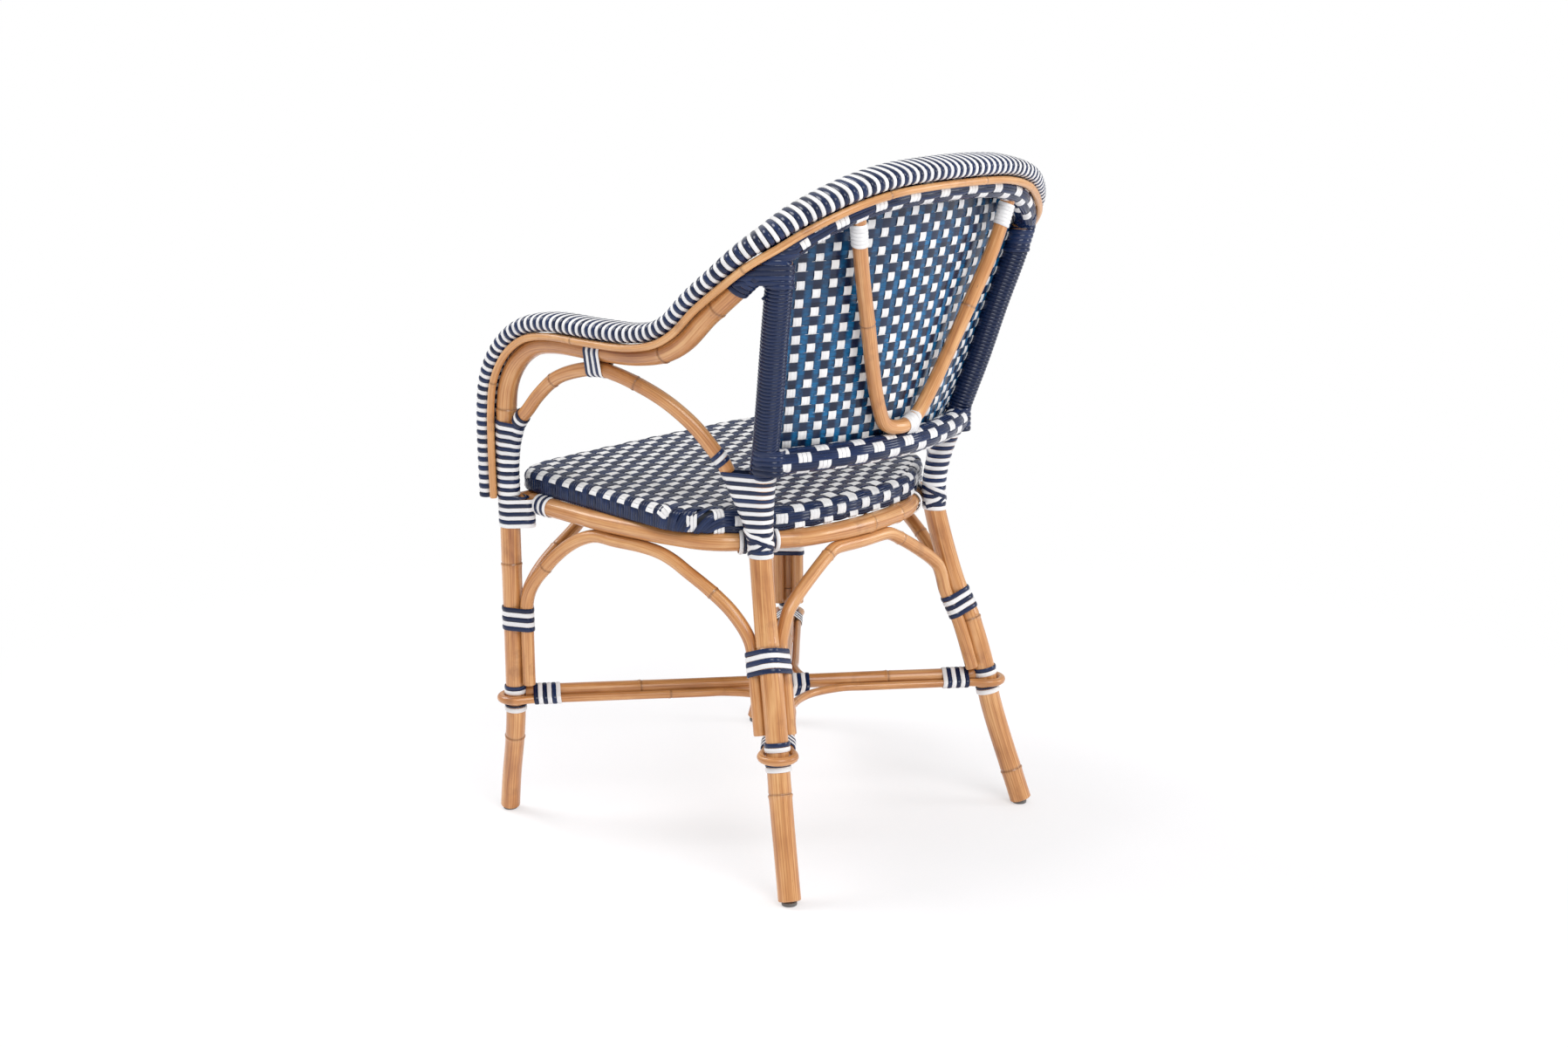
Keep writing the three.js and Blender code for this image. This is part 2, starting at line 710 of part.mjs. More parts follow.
function armArchCurve() {
  const front = vec(armHalfSpan, -frontReach + archHold, archFootHeight);
  const top = vec(armHalfSpan, -armTieReach, archTop);
  const waist = backPoleAt(archFootHeight);
  const hold = backPoleRadius + armArchRadius + archStandOff;
  const back = vec(waist.x + hold * Math.cos(archTurn), waist.y + hold * Math.sin(archTurn), archFootHeight);
  const rise = archTop - archFootHeight;
  return smooth([
    front,
    ...archFrontShares.map(([way, height]) => vec(
      front.x,
      front.y + way * (top.y - front.y),
      front.z + height * rise,
    )),
    top,
    ...archBackShares.map(([across, way, height]) => vec(
      top.x + across * (back.x - top.x),
      top.y + way * (back.y - top.y),
      back.z + height * rise,
    )),
    back,
  ]);
}

const armArchLine = bent(armArchCurve(), archSteps);
const armArchReach = extended(armArchLine, armArchRadius / 2);
const armArchRoom = extended(armArchLine, 2 * armArchRadius);

// Lower back rail, bowed backwards between the back poles
const lowerRailSpread = backPoleAt(lowerRailHeight).x;
const lowerRailReach = backPoleAt(lowerRailHeight).y + lowerRailSetBack;

function lowerRailPoint(across) {
  return vec(across, lowerRailReach - lowerRailBow * (across / lowerRailSpread) ** 2, lowerRailHeight);
}

const lowerRailShares = [-1, -0.75, -0.5, -0.25, 0, 0.25, 0.5, 0.75, 1];
const lowerRail = smooth(lowerRailShares.map((share) => lowerRailPoint(share * lowerRailSpread)));
const lowerRailLine = bent(lowerRail, lowerRailSteps);

// V behind the woven back, standing on the lower rail
const wovenRailRadius = (lowerRailRadius + touch + stripThickness) / Math.cos(Math.PI / sleeveSides);
const vSeat = wovenRailRadius + touch + braceVRadius;
const vBottom = vec(
  0,
  lowerRailReach + vSeat * Math.cos(braceVLift),
  lowerRailHeight + vSeat * Math.sin(braceVLift),
);
const vTopShare = 0.545;
const vTopReachShare = 0.95;
const vTopRiseShare = 0.93;
// Rows: across share, reach share, rise share
const vBendShares = [
  [0.883, 0.825, 0.779], [0.649, 0.494, 0.48], [0.501, 0.28, 0.3], [0.394, 0.137, 0.18], [0.291, 0.03, 0.085],
  [0.21, -0.03, 0.03], [0.1, -0.03, 0.005],
];
const vTop = vec(
  vTopShare * armHalfSpan,
  vTopReachShare * hoopReach,
  armHeight + vTopRiseShare * (hoopHeight - armHeight),
);

const braceV = smooth(bothHalves([
  vTop,
  ...vBendShares.map(([across, reach, rise]) => vec(
    across * vTop.x,
    vBottom.y + reach * (vTop.y - vBottom.y),
    vBottom.z + rise * (vTop.z - vBottom.z),
  )),
  vBottom,
]));
const braceVLine = bent(braceV, vSteps);

// Stretchers: one pole corner to corner, two half poles against it, and four thin rods that run
// beside them, turn near the middle and loop round a leg
const legs = {
  left_front: {
    at: legAt(stretcherHeight),
    low: legAt(stretcherHeight - rodDrop),
    radius: armPoleRadius,
  },
  left_back: {
    at: backPoleAt(stretcherHeight),
    low: backPoleAt(stretcherHeight - rodDrop),
    radius: backPoleRadius,
  },
};
for (const [from, to] of [['left_back', 'right_back'], ['left_front', 'right_front']]) {
  legs[to] = { at: mirrorPoint(legs[from].at), low: mirrorPoint(legs[from].low), radius: legs[from].radius };
}
const legNames = Object.keys(legs);
const frontAt = legs.left_front.at;
const backAt = legs.left_back.at;
const crossingReach = (frontAt.y * backAt.x + backAt.y * frontAt.x) / (frontAt.x + backAt.x);
const crossing = vec(0, crossingReach, stretcherHeight);
const rodSide = Math.sqrt((stretcherRadius + stretcherRodRadius + 2 * touch) ** 2 - rodDrop ** 2);
const poleTieMiddle = poleTieStart + poleTieTurns * poleTiePitch / 2;
for (const name of legNames) {
  const leg = legs[name];
  leg.way = leg.at.clone().sub(crossing);
  leg.length = leg.way.length();
  leg.way.normalize();
  leg.side = vec(-leg.way.y, leg.way.x, 0);
  leg.loop = leg.radius + loopTouch + stretcherRodRadius;
  leg.tieAt = leg.length - leg.radius - poleTieMiddle;
}

function onArm(leg, distance, side) {
  const point = crossing.clone().addScaledVector(leg.way, distance).addScaledVector(leg.side, side);
  point.z -= rodDrop;
  return point;
}

const loopRows = 8;
const loopReach = THREE.MathUtils.degToRad(112);

// The thin rod that starts on one leg's stretcher and loops round the next leg
function rodCurve(leg, next) {
  const corner = leg.way.clone().add(next.way).normalize();
  const middle = crossing.clone().addScaledVector(corner, rodTurnRun + rodSide);
  middle.z -= rodDrop;
  const points = [
    onArm(leg, leg.tieAt - touch / 2, rodSide),
    onArm(leg, rodTurnStart + rodTurnRun, rodSide),
    onArm(leg, rodTurnStart, rodSide),
    middle,
    onArm(next, rodTurnStart, -rodSide),
    onArm(next, rodTurnStart + rodTurnRun, -rodSide),
    onArm(next, next.tieAt, -rodSide),
    onArm(next, next.length - next.loop, -rodSide - touch),
  ];
  for (let i = 0; i <= loopRows; i += 1) {
    const angle = loopReach * (2 * i / loopRows - 1);
    const across = next.side.clone().multiplyScalar(next.loop * Math.sin(angle));
    points.push(next.low.clone().addScaledVector(next.way, next.loop * Math.cos(angle)).add(across));
  }
  points.push(onArm(next, next.length - next.loop, rodSide + touch));
  points.push(onArm(next, next.tieAt + touch / 2, rodSide));
  return smooth(points);
}

const rodLines = {};
legNames.forEach((name, i) => {
  const next = legNames[(i + 1) % legNames.length];
  rodLines[next] = bent(rodCurve(legs[name], legs[next]), rodSteps);
});
const longLine = straight(legs.left_front.at, legs.right_back.at);
const halfBackLine = straight(crossing, legs.left_back.at);
const halfFrontLine = straight(crossing, legs.right_front.at);

// Bundles, each with a straight axis
const at = (poleAt, height, side) => (side > 0 ? poleAt(height) : mirrorPoint(poleAt(height)));
const upright = vec(0, 0, 1);
const jointBindingBottom = seatLevel(-frontReach) + seatRailRadius + touch + stripThickness;
const backBindingBottom = seatRailHeight - backBindingDrop;
const jointMiddle = (jointBindingBottom + jointBindingTop) / 2;
const backJointMiddle = (backBindingBottom + backBindingTop) / 2;
const jointPitch = (jointBindingTop - jointBindingBottom) / frontJointTurns;
const backJointPitch = (backBindingTop - backBindingBottom) / backJointTurns;
const tieSlope = touch + stripThickness;

function framesBetween(low, high, rows, poleAt, side) {
  const frames = [];
  for (let i = 0; i <= rows; i += 1) {
    const height = low + (high - low) * i / rows;
    frames.push(frameAt(at(poleAt, height, side), upright));
  }
  return frames;
}

const weaveHalf = portion(ridgeHalf, 'y', joint.y - 2 * armPoleRadius);
const hoopFrames = framesOn({
  points: bothHalves(weaveHalf.points),
  tangents: bothTangents(weaveHalf.tangents),
});
const ridgeLines = [hoop, frontPosts.left, frontPosts.right];
const hoopMembers = ridgeLines.map((line) => ({ line, radius: armPoleRadius }));
const railWeaveSpan = lowerRailSpread - touch;
const railFrames = framesOn(portion(lowerRailLine, 'x', -railWeaveSpan, railWeaveSpan));
const railMembers = [{ line: lowerRailLine, radius: lowerRailRadius }];
const hoopRoom = roomOf(hoopFrames, hoopMembers);
const railRoom = roomOf(railFrames, railMembers);

// Frame pieces
const floorReach = 2 * (backFootReach + frontFootReach);
const floor = new THREE.BoxGeometry(floorReach, floorReach, floorReach);
floor.translate(0, 0, glideHeight + touch - floorReach / 2);
const postCutters = [];
const wrapRooms = {};
for (const [name] of sides) {
  const members = [{ line: backPosts[name], radius: backPoleRadius }];
  const frames = framesOn(portion(backPosts[name], 'z', backBindingTop + tieSlope, joint.z - seatRailRadius));
  wrapRooms[name] = { frames, members };
  postCutters.push(roomOf(frames, members), pole(backPosts[name], backPoleRadius + touch));
}
const legCutters = sides.map(([name]) => pole(frontPosts[name], armPoleRadius + touch));
for (const [name] of sides) {
  add(`front_post_${name}`, cut(pole(frontPosts[name], armPoleRadius), floor), rattan);
  add(`back_post_${name}`, cut(pole(backPosts[name], backPoleRadius), floor, hoopRoom), rattan);
}
add('back_hoop', pole(hoop, armPoleRadius), rattan);
add('seat_rail_hoop', pole(seatRailLine, seatRailRadius), rattan);
add('seat_rail_front', cut(pole(frontRailLine, seatRailRadius), ...legCutters), rattan);
const railCutter = pole(seatRailLine, seatRailRadius + touch);
const crossBarLine = straight(
  onSeatLevel(railHalfSpan, -crossBarShare * frontReach),
  onSeatLevel(-railHalfSpan, -crossBarShare * frontReach),
);
add('seat_cross_bar', cut(pole(crossBarLine, crossBarRadius), railCutter), rattan);

for (const [name, side] of sides) {
  add(`arch_brace_${name}`, pole(onSide(sideBraceLine, side), braceRadius), rattan);
  add(`arm_arch_${name}`, pole(onSide(armArchLine, side), armArchRadius), rattan);
}
add('arch_brace_front', pole(frontBraceLine, braceRadius), rattan);
add('arch_brace_back', pole(backBraceLine, braceRadius), rattan);

// Leg collars, stretchers and glides
const collarRooms = [];
for (const [name] of sides) {
  const low = stretcherHeight - rodDrop + stretcherRodRadius + touch;
  const high = stretcherHeight + collarRise;
  const pairs = [['front', frontPosts, armPoleRadius], ['back', backPosts, backPoleRadius]];
  for (const [end, lines, radius] of pairs) {
    const frames = framesOn(portion(lines[name], 'z', low, high));
    const members = [{ line: lines[name], radius }];
    add(`leg_collar_${end}_${name}`, sleeve(frames, members), navyStrip);
    collarRooms.push(roomOf(frames, members));
    const foot = portion(lines[name], 'z', glideHeight).points[0];
    const glide = new THREE.CylinderGeometry(glideRadius, glideRadius, glideHeight, sleeveSides);
    glide.rotateX(Math.PI / 2);
    glide.translate(foot.x, foot.y, glideHeight / 2);
    add(`glide_${end}_${name}`, glide, darkPlastic);
  }
}
const backLegCutters = sides.map(([name]) => pole(backPosts[name], backPoleRadius + touch));
const footCutters = [...legCutters, ...backLegCutters, ...collarRooms];
const longCutter = pole(longLine, stretcherRadius + touch);
add('stretcher_long', cut(pole(longLine, stretcherRadius), ...footCutters), rattan);
add('stretcher_half_back', cut(pole(halfBackLine, stretcherRadius), longCutter, ...footCutters), rattan);
add('stretcher_half_front', cut(pole(halfFrontLine, stretcherRadius), longCutter, ...footCutters), rattan);
for (const name of legNames) {
  add(`stretcher_rod_${name}`, pole(rodLines[name], stretcherRodRadius, thinSides), rattan);
}

// Back frame, with its woven sleeves
add('back_lower_rail', cut(pole(lowerRailLine, lowerRailRadius), ...postCutters), rattan);
add('rail_weave', cut(sleeve(railFrames, railMembers), ...postCutters), navyStrip);
add('hoop_weave', sleeve(hoopFrames, hoopMembers), navyStrip);
add('back_brace_v', cut(pole(braceVLine, braceVRadius), hoopRoom), rattan);
for (const [name] of sides) {
  const { frames, members } = wrapRooms[name];
  add(`post_wrap_${name}`, cut(sleeve(frames, members), hoopRoom), navyStrip);
}

// Striped band, and the pale trim rod in the notch under its outer edge
const capSeat = woundRadius(armPoleRadius);
const capSquareness = 0.72;
const softened = (value) => Math.sign(value) * Math.abs(value) ** capSquareness;
const capOutline = ring(1, capSides).map((corner) => new THREE.Vector2(
  capHalfThickness * softened(corner.x),
  capHalfWidth * softened(corner.y),
));
const trimHold = capSeat + trimRadius;
const capHalf = portion(ridgeHalf, 'z', capEndHeight);
const capLine = besideRidge(capHalf, 0, capSeat + capHalfThickness);
const trimLine = besideRidge(capHalf, trimHold * Math.cos(trimLift), trimHold * Math.sin(trimLift) - touch);
add('arm_cap', sweep(capOutline, capLine), navyStrip);
add('trim_rod', sweep(ring(trimRadius, thinSides), trimLine), paleRattan);

// Seat: a woven tray drawn over a frame
const seatHalfWidth = armHalfSpan - woundRadius(armPoleRadius) - seatSideGap;
const seatFrontReach = frontReach + seatFrontOverhang;
const seatBackReach = waistReach + seatBackBow;
// Rows: across share of the half width, reach share, forwards where negative
const seatShares = [
  [0, -1], [0.48, -0.994], [0.79, -0.981], [0.925, -0.95], [0.98, -0.9], [0.996, -0.82], [1, -0.52],
  [0.99, 0], [0.985, 0.13], [0.965, 0.28], [0.92, 0.4], [0.858, 0.515], [0.775, 0.618], [0.7, 0.7],
  [0.6, 0.81], [0.487, 0.9], [0.35, 0.952], [0.204, 0.982], [0, 1],
];

function seatOutline(inset) {
  const right = seatShares.map(([across, reach]) => new THREE.Vector2(
    across * (seatHalfWidth - inset),
    reach * ((reach < 0 ? seatFrontReach : seatBackReach) - inset),
  ));
  const left = right.slice(1, -1).reverse().map((p) => new THREE.Vector2(-p.x, p.y));
  return [...right, ...left];
}

function slab(outline, bottom, height, rounding = 0) {
  const geometry = new THREE.ExtrudeGeometry(new THREE.Shape(outline), {
    depth: height - 2 * rounding,
    bevelEnabled: rounding > 0,
    bevelThickness: rounding,
    bevelSize: rounding,
    bevelOffset: -rounding,
    bevelSegments: 1,
  });
  geometry.translate(0, -seatBackReach, bottom + rounding - seatBottom);
  geometry.rotateX(-seatPitch);
  geometry.translate(0, seatBackReach, seatBottom);
  return geometry;
}

const jointRooms = sides.map(([name, side]) => {
  const post = { line: backPosts[name], radius: backPoleRadius };
  const arch = { line: onSide(armArchRoom, side), radius: armArchRadius };
  const frames = framesBetween(backBindingBottom - tieSlope, backBindingTop, bundleRows, backPoleAt, side);
  return roomOf(frames, [post, arch], seatNotchGap, windingSides);
});
const railTieReachFromLeg = armPoleRadius + railTieReach + railTieTurns * railTiePitch / 2;
const railTieShare = shareWhere(seatRail, 'y', -frontReach + railTieReachFromLeg, 0, 0.5);
const railTies = sides.map(([name, side]) => {
  const share = side > 0 ? railTieShare : 1 - railTieShare;
  const half = railTieTurns * railTiePitch / 2;
  const along = seatRail.getTangentAt(share);
  const centre = seatRail.getPointAt(share);
  const ends = [-half, half].map((run) => frameAt(centre.clone().addScaledVector(along, run), along));
  const members = [{ line: seatRailLine, radius: seatRailRadius - touch }];      // wound tight
  return { name, centre, along, ends, members };
});
const railTieRooms = railTies.map(({ ends, members }) => roomOf(ends, members, touch, windingSides));
const seatHollow = seatWeave + touch;
const insideRounding = seatEdgeRounding - seatWeave;
const seatShell = slab(seatOutline(0), seatBottom, seatThickness, seatEdgeRounding);
const seatRoomHeight = seatThickness - 2 * seatWeave;
const seatRoom = slab(seatOutline(seatWeave), seatBottom + seatWeave, seatRoomHeight, insideRounding);
const seatMouth = slab(seatOutline(seatHemWidth), seatBottom - seatWeave, seatThickness - seatWeave);
add('seat_weave', cut(seatShell, seatRoom, seatMouth, ...jointRooms, ...railTieRooms), navyStrip);
const frameHeight = seatThickness - 2 * seatHollow;
const frameOuter = slab(seatOutline(seatHollow), seatBottom + seatHollow, frameHeight, insideRounding);
const frameInner = slab(seatOutline(seatHollow + seatFrameWidth), seatBottom, seatThickness);
add('seat_frame', cut(frameOuter, frameInner, ...jointRooms), rattan);

// Woven back: a thin sheet inside the posts, the hoop and the lower rail
const panelColumns = 10;
const panelRows = 5;

function hoopHeightAt(across) {
  let low = jointShare;
  let high = ridgeMiddle;
  for (let i = 0; i < 30; i += 1) {
    const middle = (low + high) / 2;
    if (ridge.getPointAt(middle).x > Math.abs(across)) low = middle;
    else high = middle;
  }
  return ridge.getPointAt(low).z;
}

function backSurface(share, height) {
  const side = backPoleAt(Math.min(height, joint.z));
  const rise = (height - lowerRailHeight) / (hoopHeight - lowerRailHeight);
  const middleReach = lowerRailReach + rise * (hoopReach - lowerRailReach);
  return vec(share * side.x, middleReach - (middleReach - side.y) * share ** 2, height);
}

function panelPoint(column, row, depth) {
  const edge = 1 - panelTuck / joint.x;
  const share = edge * (2 * column / panelColumns - 1);
  const bottom = lowerRailHeight + panelTuck;
  const top = hoopHeightAt(share * joint.x) - panelTuck;
  const height = bottom + (top - bottom) * row / panelRows;
  const point = backSurface(share, height);
  const step = 1 / panelColumns;
  const across = backSurface(share + step, height).sub(backSurface(share - step, height));
  const rise = backSurface(share, height + touch).sub(backSurface(share, height - touch));
  return point.addScaledVector(across.cross(rise).normalize(), depth);
}

function sheet(pointAt, columns, rows) {
  const positions = [];
  const index = [];
  const spot = (face, column, row) => (face * (columns + 1) + column) * (rows + 1) + row;
  for (const face of [0, 1]) {
    for (let column = 0; column <= columns; column += 1) {
      for (let row = 0; row <= rows; row += 1) positions.push(...pointAt(column, row, face).toArray());
    }
  }
  const quad = (a, b, c, d) => index.push(a, b, c, a, c, d);
  for (let column = 0; column < columns; column += 1) {
    for (let row = 0; row < rows; row += 1) {
      const next = column + 1;
      quad(spot(1, column, row), spot(1, next, row), spot(1, next, row + 1), spot(1, column, row + 1));
      quad(spot(0, column, row), spot(0, column, row + 1), spot(0, next, row + 1), spot(0, next, row));
    }
    quad(spot(0, column, 0), spot(0, column + 1, 0), spot(1, column + 1, 0), spot(1, column, 0));
    quad(spot(1, column, rows), spot(1, column + 1, rows), spot(0, column + 1, rows), spot(0, column, rows));
  }
  for (let row = 0; row < rows; row += 1) {
    quad(spot(0, 0, row), spot(1, 0, row), spot(1, 0, row + 1), spot(0, 0, row + 1));
    quad(spot(1, columns, row), spot(0, columns, row), spot(0, columns, row + 1), spot(1, columns, row + 1));
  }
  return indexed(positions, index);
}

const panelCorner = (column, row, face) => panelPoint(column, row, panelInset + face * backWeave);
const panel = sheet(panelCorner, panelColumns, panelRows);
add('back_panel', cut(panel, hoopRoom, railRoom, ...postCutters), navyStrip);

// Strips wound round the joints
const frontCross = { line: frontBraceLine, radius: braceRadius };
const backCross = { line: backBraceLine, radius: braceRadius };

for (const [name, side] of sides) {
  const leg = { line: frontPosts[name], radius: armPoleRadius };
  const post = { line: backPosts[name], radius: backPoleRadius };
  const arch = { line: onSide(armArchReach, side), radius: armArchRadius };
  const brace = { line: onSide(sideBraceLine, side), radius: braceRadius };
  const wind = (piece, centre, along, members, turns, pitch) => {
    const title = `${piece}_${name}`;
    add(title, winding(title, centre, along, members, turns, pitch), whiteStrip);
  };
  for (const [end, poleAt, members] of [
    ['front', legAt, [leg, brace, frontCross]], ['back', backPoleAt, [post, brace, backCross]],
  ]) {
    const centre = at(poleAt, legTieHeight, side);
    const lean = at(poleAt, legTieHeight + legTiePitch, side).sub(centre).normalize();
    wind(`leg_binding_${end}`, centre, lean, members, legTieTurns, legTiePitch);
  }
  const armPlace = vec(side * armHalfSpan, -armTieReach, armHeight);
  const frontPlace = at(legAt, jointMiddle, side);
  const backPlace = at(backPoleAt, backJointMiddle, side);
  wind('arm_tie', armPlace, vec(0, 1, 0), [leg, arch], armTieTurns, armTiePitch);
  wind('joint_binding_front', frontPlace, upright, [leg, arch], frontJointTurns, jointPitch);
  wind('joint_binding_back', backPlace, upright, [post, arch], backJointTurns, backJointPitch);
}
for (const { name, centre, along, members } of railTies) {
  const title = `rail_tie_${name}`;
  add(title, winding(title, centre, along, members, railTieTurns, railTiePitch), whiteStrip);
}

legNames.forEach((name, i) => {
  const leg = legs[name];
  const next = legNames[(i + 1) % legNames.length];
  const members = [
    { line: straight(crossing, leg.at), radius: stretcherRadius },
    { line: rodLines[name], radius: stretcherRodRadius },
    { line: rodLines[next], radius: stretcherRodRadius },
  ];
  const title = `stretcher_binding_${name}`;
  const centre = crossing.clone().addScaledVector(leg.way, leg.tieAt);
  add(title, winding(title, centre, leg.way, members, poleTieTurns, poleTiePitch), whiteStrip);
});
const crossLines = [longLine, halfBackLine, halfFrontLine];
const crossMembers = crossLines.map((line) => ({ line, radius: stretcherRadius }));
add('stretcher_binding_middle', winding(
  'stretcher_binding_middle', crossing, vec(0, 1, 0), crossMembers, crossTieTurns, poleTiePitch,
), whiteStrip);

const vMembers = [{ line: braceVLine, radius: braceVRadius }];
const vTieDrop = woundRadius(armPoleRadius) + woundRadius(braceVRadius) + vTieTurns * vTiePitch / 2;
const vTieShare = vTieDrop / braceV.getLength();
const vTieShares = [
  ['left', vTieShare],
  ['right', 1 - vTieShare],
  ['bottom', 0.5 + vTieAside / braceV.getLength()],
];
for (const [name, share] of vTieShares) {
  const title = `v_tie_${name}`;
  const centre = braceV.getPointAt(share);
  add(title, winding(title, centre, braceV.getTangentAt(share), vMembers, vTieTurns, vTiePitch), whiteStrip);
}

export default chair;
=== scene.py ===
import math
import random
import bpy
import numpy as np
from mathutils import Matrix, Vector


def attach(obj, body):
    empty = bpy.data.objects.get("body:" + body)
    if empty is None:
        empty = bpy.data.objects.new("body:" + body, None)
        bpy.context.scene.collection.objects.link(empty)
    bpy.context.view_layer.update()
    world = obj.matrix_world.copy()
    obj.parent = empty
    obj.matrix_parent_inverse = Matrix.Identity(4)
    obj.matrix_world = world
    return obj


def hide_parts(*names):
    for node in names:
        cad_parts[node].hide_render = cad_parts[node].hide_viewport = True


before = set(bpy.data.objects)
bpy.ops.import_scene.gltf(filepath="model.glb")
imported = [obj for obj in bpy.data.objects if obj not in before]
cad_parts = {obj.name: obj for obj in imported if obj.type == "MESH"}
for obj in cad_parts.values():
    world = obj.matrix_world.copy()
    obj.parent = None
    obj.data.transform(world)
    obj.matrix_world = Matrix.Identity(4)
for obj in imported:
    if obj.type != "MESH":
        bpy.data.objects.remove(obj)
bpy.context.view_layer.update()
draw = random.Random(11)
mm = 0.001
fullTurn = 2 * math.pi
print("frame loaded")


# Camera, where the photograph was taken from. Lengths in millimetres.
view = {
    "place": (2140.0, 1957.0, 1117.0), "look": (-0.717, -0.654, -0.241), "roll": -0.16, "lens": 52.33,
    "film": 36.0, "clipStart": 0.05,
}
lens = bpy.data.cameras.new("viewCamera")
lens.sensor_width = view["film"]
lens.lens = view["lens"]
lens.clip_start = view["clipStart"]
camera = bpy.data.objects.new("viewCamera", lens)
bpy.context.collection.objects.link(camera)
look = Vector(view["look"]).normalized()
right = look.cross(Vector((0, 0, 1))).normalized()
up = right.cross(look)
turn = Matrix((right, up, -look)).transposed() @ Matrix.Rotation(math.radians(view["roll"]), 3, "Z")
camera.matrix_world = Matrix.Translation(Vector(view["place"]) * mm) @ turn.to_4x4()
bpy.context.scene.camera = camera
bpy.context.scene.view_settings.view_transform = "Standard"


# Lines, as rows of points in millimetres
def unit(rows):
    return rows / np.maximum(np.linalg.norm(rows, axis=-1, keepdims=True), 1e-9)


def lengthsOf(line):
    return np.concatenate([[0], np.cumsum(np.linalg.norm(np.diff(line, axis=0), axis=1))])


def pointsAt(line, places):
    run = lengthsOf(line)
    return np.column_stack([np.interp(places, run, line[:, k]) for k in range(line.shape[1])])


# A smooth curve through the rows (centripetal Catmull-Rom), cut into even steps
def smoothLine(rows, step=2.0, spanSamples=14):
    p = np.array(rows, float)
    p = np.vstack([2 * p[0] - p[1], p, 2 * p[-1] - p[-2]])
    parts = []
    for a, b, c, d in zip(p[:-3], p[1:-2], p[2:-1], p[3:]):
        tb = np.linalg.norm(b - a) ** 0.5
        tc = tb + np.linalg.norm(c - b) ** 0.5
        td = tc + np.linalg.norm(d - c) ** 0.5
        t = np.linspace(tb, tc, spanSamples, endpoint=False)[:, None]
        ab = a + (b - a) * t / tb
        bc = b + (c - b) * (t - tb) / (tc - tb)
        cd = c + (d - c) * (t - tc) / (td - tc)
        abc = ab + (bc - ab) * t / tc
        bcd = bc + (cd - bc) * (t - tb) / (td - tb)
        parts.append(abc + (bcd - abc) * (t - tb) / (tc - tb))
    line = np.vstack(parts + [p[-2:-1]])
    total = lengthsOf(line)[-1]
    return pointsAt(line, np.linspace(0, total, max(3, int(total / step) + 1)))


def mirrorRows(rows):
    return np.array(rows, float) * [-1, 1, 1]


def onSide(rows, side):
    return mirrorRows(rows) if side == "right" else np.array(rows, float)


def bothSides(rows):
    half = np.array(rows, float)
    return np.vstack([half, mirrorRows(half[:-1])[::-1]])


def cutLine(line, low, high):
    return line[(line[:, 2] >= low) & (line[:, 2] <= high)]


def uprightLine(x, y, low, high):
    heights = np.arange(low, high, 2.0)
    return np.column_stack([np.full(len(heights), x), np.full(len(heights), y), heights])


def tangentsOf(line, closed=False):
    if closed:
        return unit(np.roll(line, -1, axis=0) - np.roll(line, 1, axis=0))
    return unit(np.gradient(line, axis=0))


def carriedSides(line, first=(0.0, 0.0, 1.0)):
    ways = tangentsOf(line)
    side = np.array(first, float)
    if abs(ways[0] @ side) > 0.95:
        side = np.array((0.0, 1.0, 0.0))
    sides = []
    for way in ways:
        side = side - way * (side @ way)
        side = side / np.linalg.norm(side)
        sides.append(side)
    return ways, np.array(sides)


